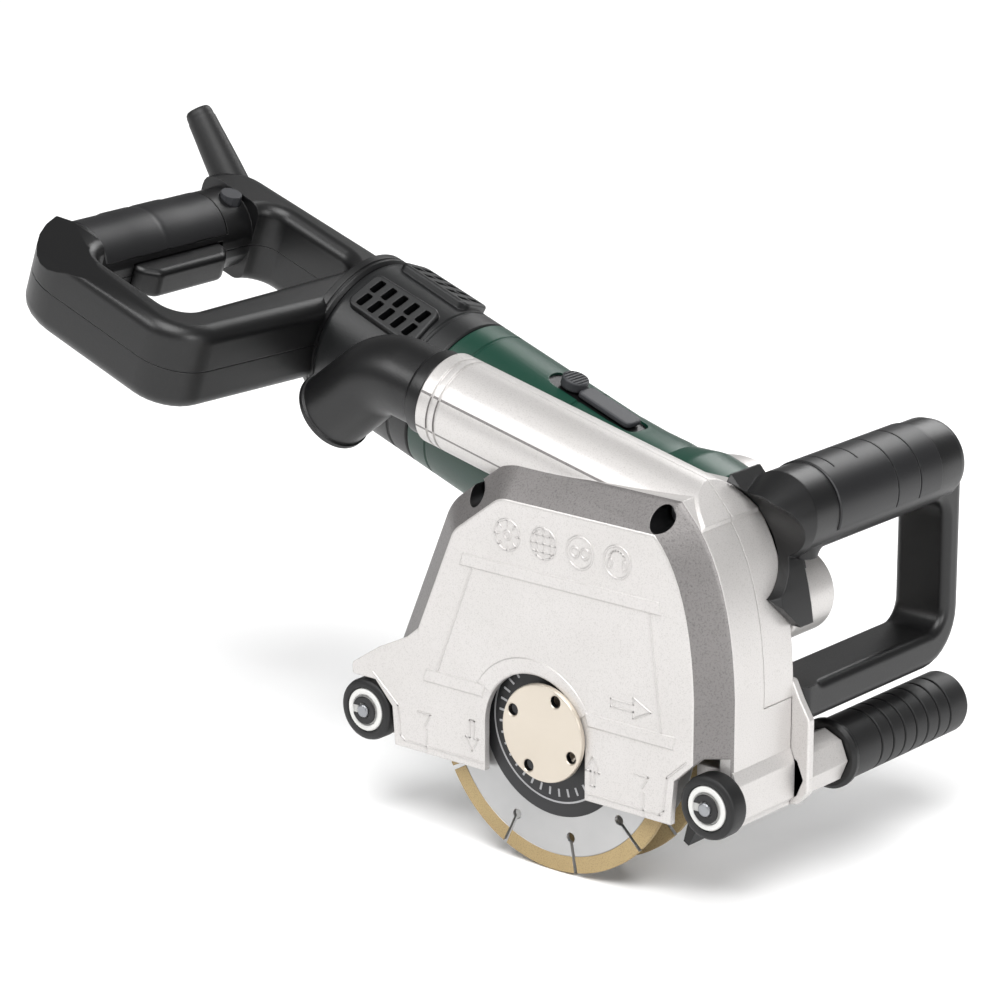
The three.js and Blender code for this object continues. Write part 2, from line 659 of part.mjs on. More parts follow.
function layPhase() {
  const pitch = TURN / SPUR.idler;
  const share = (((towardLay - idlerPhase) / pitch) % 1 + 1) % 1;
  return towardLay + Math.PI + (share + 0.5) * (TURN / SPUR.lay);
}

// A bevel gear with its apex at the origin and its axis along +Y: a cone whose ring is drawn
// into tapering teeth that all run to the apex.
function bevelGear(teeth, mate, phase, backing) {
  const cone = Math.atan2(teeth, mate);
  const far = (BEVEL.module * Math.hypot(teeth, mate)) / 2;
  const near = far - BEVEL.face;
  const tipAngle = (0.75 * BEVEL.module) / far;
  const rootAngle = BEVEL.module / far;
  const pitch = TURN / teeth;
  const radius = (BEVEL.module * teeth) / 2;
  const half = (pitch / 4) * (1 - 2 * BEVEL.backlash);
  const lean = (0.36 * far) / radius;
  const corners = [
    [-rootAngle, -(half + lean * rootAngle)], [tipAngle, -(half - lean * tipAngle)],
    [tipAngle, half - lean * tipAngle], [-rootAngle, half + lean * rootAngle],
  ];
  const geometry = new THREE.CylinderGeometry(1, 1, 1, teeth * corners.length, 1);
  geometry.deleteAttribute('normal');
  geometry.deleteAttribute('uv');
  const merged = mergeVertices(geometry, 1e-4);
  const at = merged.attributes.position;
  for (let i = 0; i < at.count; i += 1) {
    const reach = at.getY(i) > 0 ? far : near;
    if (Math.hypot(at.getX(i), at.getZ(i)) < 0.5) {
      at.setXYZ(i, 0, reach === far ? far * Math.cos(cone) + backing : near * Math.cos(cone), 0);
    } else {
      const turn = (Math.atan2(at.getX(i), at.getZ(i)) + TURN) % TURN;
      const index = Math.round(turn / (TURN / (teeth * corners.length)));
      const tooth = Math.floor(index / corners.length);
      const [lift, offset] = corners[index % corners.length];
      const azimuth = phase + tooth * pitch + offset;
      const out = reach * Math.sin(cone + lift);
      at.setXYZ(i, out * Math.cos(azimuth), reach * Math.cos(cone + lift), out * Math.sin(azimuth));
    }
  }
  return merged;
}

const crownY = MOTOR_Y - (BEVEL.module * BEVEL.pinion) / 2;

function crownGear() {
  const towardMotor = Math.PI - MOTOR_SLOPE;
  const phase = towardMotor + Math.PI / BEVEL.crown;
  const geometry = bevelGear(BEVEL.crown, BEVEL.pinion, phase, crownY - SPUR.y1 - 1);
  geometry.scale(1, -1, 1);
  geometry.translate(LAY.x, MOTOR_Y, LAY.z);
  return cut(toSolid(geometry), rodY(LAY_R + GAP, 0, 200, LAY.x, LAY.z, SMALL));
}

function layShaft() {
  const shaft = rodY(LAY_R, CASE.y0 + CASE.plate + 1, CASE.end - 6, LAY.x, LAY.z, SMALL);
  return join(shaft, spurGear(SPUR.lay, layPhase(), LAY.x, LAY.z, 0));
}

// ---------------------------------------------------------------- gear case

// An outline in X and Z around circles, each at least this far inside it.
function around(circles, grow) {
  const points = [];
  circles.forEach(([x, z, r]) => {
    for (let i = 0; i < 16; i += 1) {
      const a = (i * TURN) / 16;
      points.push([x + (r + grow) * Math.cos(a), z + (r + grow) * Math.sin(a)]);
    }
  });
  points.sort((p, q) => p[0] - q[0] || p[1] - q[1]);
  const turnOf = (o, a, b) => (a[0] - o[0]) * (b[1] - o[1]) - (a[1] - o[1]) * (b[0] - o[0]);
  const chain = (list) => {
    const hull = [];
    list.forEach((p) => {
      while (hull.length > 1 && turnOf(hull.at(-2), hull.at(-1), p) <= 1e-9) hull.pop();
      hull.push(p);
    });
    return hull.slice(0, -1);
  };
  return outline([...chain(points), ...chain([...points].reverse())]);
}

const lowCircles = [[0, 0, CASE.spindleR], [IDLER.x, IDLER.z, CASE.idlerR], [LAY.x, LAY.z, CASE.layR]];
const lugCircles = [[LAY.x + 6, LAY.z, 26], [PIVOT.x, PIVOT.z, PIVOT.lugR]];

function gearPlate() {
  const body = join(
    prismY(around(lowCircles, 0), CASE.y0, CASE.y0 + CASE.plate),
    ringY(15.5, 13 + GAP, CASE.y0 + 1, CASE.y0 + 12, 0, 0, FINE),
  );
  return cut(
    body,
    rodY(SPINDLE_R + 0.8, 0, 200, 0, 0, FINE),
    rodY(PIVOT.lugR + 0.6, 0, 200, PIVOT.x, PIVOT.z),
  );
}

const motorAxisPoint = new THREE.Vector3(LAY.x, MOTOR_Y, LAY.z);
const motorBack = new THREE.Vector3(-Math.cos(MOTOR_SLOPE), 0, Math.sin(MOTOR_SLOPE));
const motorUp = new THREE.Vector3(Math.sin(MOTOR_SLOPE), 0, Math.cos(MOTOR_SLOPE));
const alongMotor = (s) => motorAxisPoint.clone().addScaledVector(motorBack, s);

function gearCase() {
  const { y0, plate, back, end, wall, layR } = CASE;
  const start = y0 + plate + GAP;
  const flatNear = box([-400, -50, -300], [400, start, 400]);
  const outer = join(
    prismY(around(lowCircles, 0), start, back),
    prismY(around(lugCircles, 0), start, PIVOT.y1),
    rodY(layR, start, end, LAY.x, LAY.z),
    cut(rodBetween(alongMotor(-10), alongMotor(GREEN_START - GAP), layR), flatNear),
  );
  const idlerPin = rodY(4.5, SPUR.y0 - 6, back - 1, IDLER.x, IDLER.z, SMALL);
  const inner = join(
    prismY(around(lowCircles, -wall), y0, back - wall),
    rodY(layR - wall, y0, end - wall, LAY.x, LAY.z),
    cut(rodBetween(alongMotor(-6), alongMotor(GREEN_START + 20), layR - wall), flatNear),
  );
  const seats = join(
    ringY(16, 13 + GAP, SPUR.y1 + 2, back - 1, 0, 0, FINE),
    ringY(16, 12 + GAP, end - 14, end - 2, LAY.x, LAY.z, FINE),
  );
  return cut(
    join(cut(outer, inner), idlerPin, seats),
    rodY(PIVOT.pinR + GAP, 0, 200, PIVOT.x, PIVOT.z, SMALL),
    lockHole(),
  );
}

// The spindle lock is a button on the far side of the case, in line with the lay shaft's gear.
const LOCK = { x: LAY.x + 20, z: LAY.z + 12, r: 5 };
const lockHole = () => rodY(LOCK.r + GAP, CASE.end - 17, CASE.end + 13, LOCK.x, LOCK.z, SMALL);

function spindleLock() {
  const { end } = CASE;
  return turned([[0, end - 10], [LOCK.r, end - 10], [LOCK.r, end + 4], [LOCK.r - 1, end + 5],
    [0, end + 5]], LOCK.x, LOCK.z, SMALL);
}

function pivotPin() {
  return turned([[0, HOOD_BACK_Y - WALL - 3.5], [9, HOOD_BACK_Y - WALL - 3.5], [9, HOOD_BACK_Y - WALL - GAP],
    [PIVOT.pinR, HOOD_BACK_Y - WALL - GAP], [PIVOT.pinR, PIVOT.y1 + 8], [0, PIVOT.y1 + 8]],
  PIVOT.x, PIVOT.z, SMALL);
}

function pivotCap() {
  const y = PIVOT.y1 + GAP;
  return turned([[PIVOT.pinR + GAP, y], [13, y], [13, y + 3], [9, y + 9], [0, y + 10.5],
    [0, PIVOT.y1 + 8 + GAP], [PIVOT.pinR + GAP, PIVOT.y1 + 8 + GAP]], PIVOT.x, PIVOT.z, FINE);
}

// ---------------------------------------------------------------- motor, in its own sloping frame
// Local X is across (world +Y), local Y runs back along the motor axis, local Z is its up.

const motorFrame = new THREE.Matrix4()
  .makeBasis(new THREE.Vector3(0, 1, 0), motorBack, motorUp)
  .setPosition(motorAxisPoint);

// The space that the gear case takes, with a gap round it, seen from the motor's frame.
function caseRoom() {
  const room = join(
    prismY(around(lowCircles, GAP), CASE.y0 - 20, CASE.back + GAP),
    rodY(CASE.layR + GAP, CASE.y0 - 20, CASE.end + GAP, LAY.x, LAY.z),
  );
  return room.transform(motorFrame.clone().invert().elements);
}

const nearFlat = CASE.y0 - MOTOR_Y + 0.6; // the housing's near side stays clear of the hood

function keepOffHood(solid) {
  return cut(solid, box([-300, -400, -300], [nearFlat, 60, 300]));
}

// The raised green cover over the top of the gear case.
function gearCover() {
  const r = CASE.layR + GAP;
  const band = turned([[r, -6], [42.4, -6], [42.4, 14], [r + 2, GREEN_START - GAP], [r, GREEN_START - GAP]]);
  const solid = cut(
    keepOffHood(band), box([-300, -100, -300], [300, 400, 27]),
  );
  return cut(solid, caseRoom());
}

function motorHousing() {
  const inner = MOTOR_R - 3;
  const tube = turned([[inner, GREEN_START], [MOTOR_R + 2.6, GREEN_START], [MOTOR_R + 1, GREEN_START + 18],
    [MOTOR_R, GREEN_START + 34], [MOTOR_R, GREEN_END], [inner, GREEN_END]]);
  return cut(keepOffHood(tube), leverRecess(), caseRoom());
}

// Raised vent panels on the rear housing, with two rows of slots in each.
const VENT = { s0: 152, s1: 190, rows: 2, columns: 4, slot: 6.4, rib: 2, proud: 2 };

function ventSlots(angle) {
  const slots = [];
  const pitch = VENT.slot + VENT.rib;
  for (let row = 0; row < VENT.rows; row += 1) {
    for (let column = 0; column < VENT.columns; column += 1) {
      const geometry = new THREE.BoxGeometry(5.5, VENT.slot, 14);
      geometry.translate((row - 0.5) * 8, VENT.s0 + 5.5 + column * pitch, MOTOR_R);
      geometry.rotateY(angle);
      slots.push(toSolid(geometry));
    }
  }
  return slots;
}

function rearHousing() {
  const inner = MOTOR_R - 3;
  const start = GREEN_END + GAP;
  const shell = turned([[inner, start], [MOTOR_R, start], [MOTOR_R, SWIVEL_S], [12, SWIVEL_S],
    [12, SWIVEL_S - 12], [15, SWIVEL_S - 12], [15, SWIVEL_S - 3], [inner, SWIVEL_S - 3]]);
  const panels = [deg(-32), deg(24)].map((angle) => {
    const geometry = new THREE.BoxGeometry(19, VENT.s1 - VENT.s0, 6);
    geometry.translate(0, (VENT.s0 + VENT.s1) / 2, MOTOR_R + VENT.proud - 3.6);
    geometry.rotateY(angle);
    return toSolid(geometry);
  });
  return cut(join(shell, ...panels), ...ventSlots(deg(-32)), ...ventSlots(deg(24)));
}

function stator() {
  const [inner, outer] = [19, MOTOR_R - 3.8];
  return turned([[inner, 53], [28, 53], [28, 58], [outer, 58], [outer, 104], [28, 104], [28, 109],
    [inner, 109]], 0, 0, FINE);
}

function rotor() {
  return turned([[0, 12], [3, 12], [3, 28], [5, 28], [5, 60], [18, 60], [18, 102], [10, 102], [10, 108],
    [12.5, 108], [12.5, 126], [5, 126], [5, 192], [0, 192]], 0, 0, FINE);
}

function fan() {
  const plate = ringY(28, 5 + GAP, 34, 36, 0, 0, FINE);
  const blades = [];
  for (let i = 0; i < 6; i += 1) {
    const geometry = new THREE.BoxGeometry(16, 8, 1.6);
    geometry.translate(19.5, 39.5, 0);
    geometry.rotateY((i * TURN) / 6);
    blades.push(toSolid(geometry));
  }
  return join(plate, ringY(9, 5 + GAP, 34, 44, 0, 0, SMALL), ...blades);
}

function bevelPinion() {
  const body = toSolid(bevelGear(BEVEL.pinion, BEVEL.crown, Math.PI, 2));
  return cut(body, rodY(3 + GAP, 0, 40, 0, 0, SMALL));
}

function brushHolder(side) {
  const [a, b] = side < 0 ? [-30, -13.2] : [13.2, 30];
  return box([a, 112, -4], [b, 121, 4]);
}

function frontBearing() {
  return ringY(14, 5 + GAP, 46, 51, 0, 0, 16);
}

function rearBearing() {
  return ringY(12 - GAP, 5 + GAP, SWIVEL_S - 10, SWIVEL_S - 3, 0, 0, 16);
}

// Release lever for the swing, in a recess on top of the green housing.
const LEVER = { pivotS: 56, padS: 84, width: 11, top: MOTOR_R + 4.6, base: MOTOR_R - 0.4 };

function leverRecess() {
  return box([-LEVER.width / 2 - 1.2, LEVER.pivotS - 12, MOTOR_R - 1.2],
    [LEVER.width / 2 + 1.2, LEVER.padS + 11, MOTOR_R + 10]);
}

function releaseLever() {
  const { pivotS, padS, width, top, base } = LEVER;
  const arm = box([-width / 2, pivotS - 8, base], [width / 2, padS, base + 2.4]);
  const hub = rodBetween(new THREE.Vector3(-width / 2, pivotS - 4, base + 1.6),
    new THREE.Vector3(width / 2, pivotS - 4, base + 1.6), 2, 8);
  const pad = rodBetween(new THREE.Vector3(0, padS, base), new THREE.Vector3(0, padS, top), 8.5, 16);
  return join(arm, hub, pad.intersect(box([-width / 2 - 0.6, 0, 0], [width / 2 + 0.6, 300, 300])));
}

// ---------------------------------------------------------------- rear handle

function loopShape(inset) {
  const { nearOut, farOut, rear } = LOOP;
  const [x0, x1, s1] = [nearOut + inset, farOut - inset, rear - inset];
  const s0 = LOOP.front + inset;
  const shape = new THREE.Shape();
  shape.moveTo(x0, s0 + 14);
  shape.quadraticCurveTo(x0, s0, x0 + 14, s0);
  shape.lineTo(-30 + inset, s0 - 4);
  shape.lineTo(-30 + inset, SWIVEL_S + 1 + inset);
  shape.lineTo(28 - inset, SWIVEL_S + 1 + inset);
  shape.lineTo(x1, s0 + 20);
  shape.lineTo(x1 - 3, s1 - 14);
  shape.quadraticCurveTo(x1 - 3, s1, x1 - 17, s1);
  shape.lineTo(x0 + 22, s1 - 2);
  shape.quadraticCurveTo(x0 + 2, s1 - 2, x0 + 1, s1 - 22);
  return shape;
}

function loopHole(grow) {
  const x0 = LOOP.nearIn - grow;
  const x1 = LOOP.farIn + grow;
  const y0 = LOOP.openFront - grow;
  const y1 = LOOP.openRear + grow;
  return roundedRect(x0, y0, x1, y1, 10);
}

const GRIP = { s: 296, half: 17.5, x0: -92, x1: 6 };
const TRIGGER = { x0: -70, x1: -14, s0: 268, z0: -9, z1: 5 };

// One half of the loop, cut at the plane of the motor axis and hollow inside.
function handleHalf(side) {
  const { half, wall } = LOOP;
  const [z0, z1] = side > 0 ? [GAP / 2, half] : [-half, -GAP / 2];
  const whole = cut(prismZ(loopShape(0), -half, half, 6), prismZ(loopHole(0), -50, 50, 0));
  const collar = rodY(MOTOR_R, SWIVEL_S + GAP, SWIVEL_S + 7, 0, 0, SEG);
  const gripShave = cut(
    box([GRIP.x0, LOOP.openRear - 1, -40], [GRIP.x1, 400, 40]),
    rodBetween(new THREE.Vector3(GRIP.x0 - 1, GRIP.s, 0), new THREE.Vector3(GRIP.x1 + 1, GRIP.s, 0), 18.5, FINE),
  );
  const solid = cut(join(whole, collar), gripShave);
  const room = cut(prismZ(loopShape(wall), -half + wall, half - wall, 4), prismZ(loopHole(wall), -50, 50, 0));
  const gripRoom = cut(
    box([GRIP.x0 - 4, LOOP.openRear - 5, -40], [GRIP.x1 + 4, 400, 40]),
    rodBetween(new THREE.Vector3(GRIP.x0 - 8, GRIP.s, 0), new THREE.Vector3(GRIP.x1 + 8, GRIP.s, 0), 15.5, FINE),
  );
  const slab = box([-400, 0, z0], [400, 600, z1]);
  const axisBore = rodY(12, SWIVEL_S - 2, SWIVEL_S + 14, 0, 0, FINE);
  const body = cut(solid, cut(room, gripRoom), axisBore, triggerRoom(), reliefRoom(), lockOnRoom(), padRecess());
  return body.intersect(slab);
}

const triggerRoom = () => box([TRIGGER.x0 - 0.6, TRIGGER.s0 - 10, TRIGGER.z0 - 0.6],
  [TRIGGER.x1 + 0.6, GRIP.s - 2, TRIGGER.z1 + 0.6]);

function trigger() {
  const paddle = outline([[TRIGGER.x0, 284], [TRIGGER.x0, 276], [TRIGGER.x0 + 8, TRIGGER.s0],
    [TRIGGER.x1 - 6, TRIGGER.s0 + 1], [TRIGGER.x1, 276], [TRIGGER.x1, 284]]);
  return prismZ(paddle, TRIGGER.z0, TRIGGER.z1, 1.5);
}

function switchModule() {
  return box([-66, 291, -10], [-18, 305, 9]);
}

// The soft panel on top of the grip.
const PAD = { x0: -88, x1: -10, thick: 1.6 };

function padBand(inner, outer, margin) {
  const ring = cut(
    rodBetween(new THREE.Vector3(PAD.x0 + margin, GRIP.s, 0), new THREE.Vector3(PAD.x1 - margin, GRIP.s, 0), outer, FINE),
    rodBetween(new THREE.Vector3(PAD.x0 - 5, GRIP.s, 0), new THREE.Vector3(PAD.x1 + 5, GRIP.s, 0), inner, FINE),
  );
  return cut(ring, box([-200, 0, -50], [200, 600, 8 + margin]));
}

const padRecess = () => padBand(18.5 - PAD.thick, 30, 0);
const gripPad = () => padBand(18.5 - PAD.thick + GAP, 19.1, GAP);

// Lock-on button in the near side of the grip's far end.
const LOCK_ON = { x: 1, s: 292, r: 5 };
const lockOnRoom = () => rodBetween(new THREE.Vector3(LOCK_ON.x, LOCK_ON.s, 0),
  new THREE.Vector3(LOCK_ON.x, LOCK_ON.s, 60), LOCK_ON.r + GAP, SMALL);

function lockOnButton() {
  return rodBetween(new THREE.Vector3(LOCK_ON.x, LOCK_ON.s, 6),
    new THREE.Vector3(LOCK_ON.x, LOCK_ON.s, 20.5), LOCK_ON.r, SMALL);
}


// Bend relief for the supply cord, leaving the far rear corner of the loop.
const RELIEF = { x: 21, s: 303, z: 8, lean: deg(37), length: 46 };

function reliefAxis(distance) {
  return new THREE.Vector3(RELIEF.x, RELIEF.s + distance * Math.cos(RELIEF.lean),
    RELIEF.z + distance * Math.sin(RELIEF.lean));
}

const reliefRoom = () => rodBetween(reliefAxis(-8), reliefAxis(60), 8.6, FINE);

function strainRelief() {
  const taper = turned([[4.2, -4], [8.3, -4], [8.3, 12], [6.6, RELIEF.length - 3], [5.6, RELIEF.length],
    [4.2, RELIEF.length]], 0, 0, 16);
  const frame = new THREE.Matrix4().makeRotationX(RELIEF.lean);
  frame.setPosition(reliefAxis(0));
  return taper.transform(frame.elements);
}

// ---------------------------------------------------------------- scene graph

const machine = new THREE.Group();

const hood = new THREE.Group();
node(hood, 'hood_cover', hoodCover(), castSilver);
node(hood, 'hood_back', hoodBack(), castSilver);
screwPlaces.forEach((place, i) => node(hood, `hood_screw_${i + 1}`, hoodScrew(place), gearSteel));
node(hood, 'dust_flap', dustFlap(), softRubber);
node(hood, 'pivot_pin', pivotPin(), gearSteel);
node(hood, 'pivot_cap', pivotCap(), castSilver);
node(hood, 'front_handle', frontHandle(), darkPlastic);
node(hood, 'front_handle_pad', frontPad(), softRubber);
node(hood, 'roller_shaft', rollerShaft(), gearSteel);
node(hood, 'roller_collar', rollerCollar(), darkPlastic);
node(hood, 'support_roller', supportRoller(), softRubber);
node(hood, 'extraction_elbow', extractionElbow(), darkPlastic);
[['front', FRONT_X], ['rear', REAR_X]].forEach(([end, x]) => {
  node(hood, `${end}_axle`, axle(x), gearSteel);
  node(hood, `${end}_axle_clip`, clip(x), darkPlastic);
  node(hood, `${end}_tyre`, tyre(x), softRubber);
  node(hood, `${end}_wheel_hub`, wheelHub(x), hubPlastic);
});
machine.add(hood);

const drive = new THREE.Group();
node(drive, 'spindle', spindle(), gearSteel);
node(drive, 'spindle_gear', spurGear(SPUR.spindle, towardIdler, 0, 0, SPINDLE_R + GAP), gearSteel);
node(drive, 'near_disc', disc(DISC.nearY), discSteel);
node(drive, 'far_disc', disc(farY), discSteel);
node(drive, 'clamp_nut', clampNut(), nutSteel);
node(drive, 'support_flange', supportFlange(), gearSteel);
for (let i = 0; i < SPACER.count; i += 1) node(drive, `disc_spacer_${i + 1}`, spacer(i), gearSteel);
node(drive, 'idler_gear', spurGear(SPUR.idler, idlerPhase, IDLER.x, IDLER.z, 4.5 + GAP), gearSteel);
node(drive, 'lay_shaft', layShaft(), gearSteel);
node(drive, 'crown_gear', crownGear(), gearSteel);
node(drive, 'spindle_bearing_near', bearing(13, SPINDLE_R, 62, 69, 0, 0), gearSteel);
node(drive, 'spindle_bearing_far', bearing(13, SPINDLE_R, 81.5, 86, 0, 0), gearSteel);
node(drive, 'lay_bearing', bearing(12, 6, 113.5, 120, LAY.x, LAY.z), gearSteel);
node(drive, 'gear_plate', gearPlate(), castSilver);
node(drive, 'gear_case', gearCase(), castSilver);
node(drive, 'spindle_lock', spindleLock(), darkPlastic);
machine.add(drive);

const motor = new THREE.Group();
motor.applyMatrix4(motorFrame);
node(motor, 'gear_cover', gearCover(), greenPlastic);
node(motor, 'motor_housing', motorHousing(), greenPlastic);
node(motor, 'rear_housing', rearHousing(), greyPlastic);
node(motor, 'stator', stator(), copper);
node(motor, 'rotor', rotor(), gearSteel);
node(motor, 'fan', fan(), greyPlastic);
node(motor, 'bevel_pinion', bevelPinion(), gearSteel);
node(motor, 'brush_holder_1', brushHolder(-1), copper);
node(motor, 'brush_holder_2', brushHolder(1), copper);
node(motor, 'rotor_bearing_front', frontBearing(), gearSteel);
node(motor, 'rotor_bearing_rear', rearBearing(), gearSteel);
node(motor, 'release_lever', releaseLever(), greyPlastic);
node(motor, 'rear_handle_upper', handleHalf(1), darkPlastic);
node(motor, 'rear_handle_lower', handleHalf(-1), darkPlastic);
node(motor, 'rear_grip_pad', gripPad(), softRubber);
node(motor, 'trigger', trigger(), darkPlastic);
node(motor, 'switch_module', switchModule(), greyPlastic);
node(motor, 'lock_on_button', lockOnButton(), greyPlastic);
node(motor, 'strain_relief', strainRelief(), softRubber);
machine.add(motor);

export default machine;
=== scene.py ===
"""The looks of a twin-disc wall chaser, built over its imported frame.

Sizes are in millimetres inside the classes, in the frame's own axes: +X is the direction of
cut, +Y points from the near cover towards the motor, +Z is up, and the origin is the centre of
the clamp nut's outer face. A finished piece is scaled to metres.
"""

import logging
import math
from collections.abc import Callable, Sequence
from dataclasses import dataclass, field
from enum import Enum

import bmesh
import bpy
from mathutils import Matrix, Vector

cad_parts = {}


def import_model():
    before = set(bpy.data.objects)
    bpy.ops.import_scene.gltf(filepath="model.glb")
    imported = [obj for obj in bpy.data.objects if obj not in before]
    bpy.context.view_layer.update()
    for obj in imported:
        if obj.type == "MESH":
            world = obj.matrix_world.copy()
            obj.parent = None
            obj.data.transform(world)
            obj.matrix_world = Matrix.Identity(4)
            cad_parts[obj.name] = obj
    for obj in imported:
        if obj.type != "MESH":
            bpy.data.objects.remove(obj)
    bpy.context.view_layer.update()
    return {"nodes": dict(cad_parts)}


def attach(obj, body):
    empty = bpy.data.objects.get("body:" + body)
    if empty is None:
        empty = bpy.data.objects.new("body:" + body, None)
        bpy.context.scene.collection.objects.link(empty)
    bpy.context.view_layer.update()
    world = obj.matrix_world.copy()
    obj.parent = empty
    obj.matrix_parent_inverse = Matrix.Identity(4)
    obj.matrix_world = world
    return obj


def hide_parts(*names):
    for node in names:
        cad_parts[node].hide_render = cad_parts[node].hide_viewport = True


Point = tuple[float, float]
Trio = tuple[float, float, float]  # a point with a corner radius, or a circle
Test = Callable[[Vector, Vector], bool]
MM = 0.001
TURN = 2 * math.pi
FAR = 300  # past everything, for cutters that take away one side
PIVOT: Point = (66, 56)  # what the drive swings about
SWING = math.radians(10)
DRUM: Point = (8, 57.2)  # where the motor's axis meets the gear case
IDLER: Point = (23.5, 23.2)
DRUM_LUG: Point = (14, 57.2)
FRONT_X, REAR_X, WHEEL_Z = 83.7, -99.4, -13.0
PIN_BORE = 5.3
WAVE_PERIOD = 0.314  # distance between the rings of a wave texture of scale 1
LOG = logging.getLogger("wall_chaser")


# ------------------------------------------------------------------------------ finishes


def linear(hex_colour: str) -> tuple[float, float, float, float]:
    """Turns an sRGB hex colour into linear RGBA.

    Args:
        hex_colour: Six hex digits, with or without a leading hash.

    Returns:
        The linear colour with an alpha of 1.
    """
    digits = hex_colour.lstrip("#")
    channels = [int(digits[i : i + 2], 16) / 255 for i in (0, 2, 4)]
    levels = [c / 12.92 if c <= 0.04045 else ((c + 0.055) / 1.055) ** 2.4 for c in channels]
    return (levels[0], levels[1], levels[2], 1.0)


def add_node(
    tree: bpy.types.NodeTree,
    kind: str,
    inputs: dict[str | int, object] | None = None,
    **settings: object,
) -> bpy.types.Node:
    """Adds one node, with its settings and what feeds its inputs.

    Args:
        tree: The tree that takes the node.
        kind: The node's Blender type.
        inputs: Values or output sockets, by input name or number.
        settings: Attributes to set on the node.

    Returns:
        The new node.
    """
    node = tree.nodes.new(kind)
    for name, value in settings.items():
        setattr(node, name, value)
    for key, value in (inputs or {}).items():
        if isinstance(value, bpy.types.NodeSocket):
            tree.links.new(value, node.inputs[key])
        else:
            node.inputs[key].default_value = value
    return node


def blended(
    tree: bpy.types.NodeTree, noise: dict[str, object], window: dict[str, float], colours: tuple
) -> bpy.types.NodeSocket:
    """Mixes two colours by a noise pattern.

    Args:
        tree: The material's tree.
        noise: The noise texture's inputs.
        window: The range of the noise that counts, and the second colour's largest share.
        colours: The two colours, each a value or a socket.

    Returns:
        A colour socket.
    """
    pattern = add_node(tree, "ShaderNodeTexNoise", noise)
    share = add_node(tree, "ShaderNodeMapRange", {"Value": pattern.outputs["Fac"], **window})
    sources = {"Factor": share.outputs["Result"], "A": colours[0], "B": colours[1]}
    return add_node(tree, "ShaderNodeMix", sources, data_type="RGBA").outputs["Result"]


@dataclass(frozen=True)
class Finish:
    """A surface finish: colour, gloss, and a fine grain that breaks both up.

    The grain is a relief of the given size and height, and the mottle is a slow change of
    tone over some centimetres, as handling and moulding leave it.
    """

    name: str
    colour: str
    shade: str
    roughness: float
    metallic: float = 0.0
    grain_mm: float = 0.8
    relief_mm: float = 0.02
    mottle_mm: float = 35.0
    mottle: float = 0.35
    edge_mm: float = 0.7
    coat: float = 0.0

    def material(self) -> bpy.types.Material:
        """Returns the finish as a material, made on first use.

        Returns:
            The material.
        """
        known = bpy.data.materials.get(self.name)
        if known:
            return known
        material = bpy.data.materials.new(self.name)
        material.use_nodes = True
        tree = material.node_tree
        tree.nodes.clear()
        place = add_node(tree, "ShaderNodeTexCoord").outputs["Object"]
        colour = self.tone(tree, place)
        relief = self.relief(tree, place)
        radius = max(self.edge_mm, 0.05) * MM
        edge = add_node(tree, "ShaderNodeBevel", {"Radius": radius}, samples=4)
        height = {"Strength": 1.0, "Distance": self.relief_mm * MM, "Height": relief}
        bump = add_node(tree, "ShaderNodeBump", {**height, "Normal": edge.outputs["Normal"]})
        low, high = max(self.roughness - 0.06, 0.02), min(self.roughness + 0.08, 1.0)
        gloss = add_node(
            tree, "ShaderNodeMapRange", {"Value": relief, "To Min": low, "To Max": high}
        )
        surface = add_node(
            tree,
            "ShaderNodeBsdfPrincipled",
            {
                "Base Color": colour,
                "Metallic": self.metallic,
                "Roughness": gloss.outputs["Result"],
                "Coat Weight": self.coat,
                "Normal": bump.outputs["Normal"],
            },
        )
        add_node(tree, "ShaderNodeOutputMaterial", {"Surface": surface.outputs["BSDF"]})
        return material

    def relief(self, tree: bpy.types.NodeTree, place: bpy.types.NodeSocket) -> bpy.types.NodeSocket:
        """Makes the grain's height.

        Args:
            tree: The material's tree.
            place: The coordinates to read.

        Returns:
            A socket from 0 to 1.
        """
        scale = 1 / (self.grain_mm * MM)
        noise = {"Vector": place, "Scale": scale, "Detail": 3.0, "Roughness": 0.55}
        return add_node(tree, "ShaderNodeTexNoise", noise).outputs["Fac"]

    def tone(self, tree: bpy.types.NodeTree, place: bpy.types.NodeSocket) -> bpy.types.NodeSocket:
        """Makes the base colour, mottled between the finish's two tones.

        Args:
            tree: The material's tree.
            place: The coordinates to read.

        Returns:
            A colour socket.
        """
        noise = {"Vector": place, "Scale": 1 / (self.mottle_mm * MM), "Detail": 4.0}
        window = {"From Min": 0.35, "From Max": 0.75, "To Max": self.mottle}
        return blended(tree, noise, window, (linear(self.colour), linear(self.shade)))


@dataclass(frozen=True)
class TurnedSteel(Finish):
    """Steel faced on a lathe: fine concentric marks about the spindle, 0.5 mm apart."""

    mark_mm: float = 0.5

    def relief(self, tree: bpy.types.NodeTree, place: bpy.types.NodeSocket) -> bpy.types.NodeSocket:
        """Makes the lathe marks' height from the distance to the spindle.

        Args:
            tree: The material's tree.
            place: The coordinates to read.

        Returns:
            A socket from 0 to 1.
        """
        scale = WAVE_PERIOD / (self.mark_mm * MM)
        rings = {"Vector": place, "Scale": scale, "Distortion": 0.6, "Detail": 2.0}
        return add_node(
            tree, "ShaderNodeTexWave", rings, wave_type="RINGS", rings_direction="Y"
        ).outputs["Fac"]


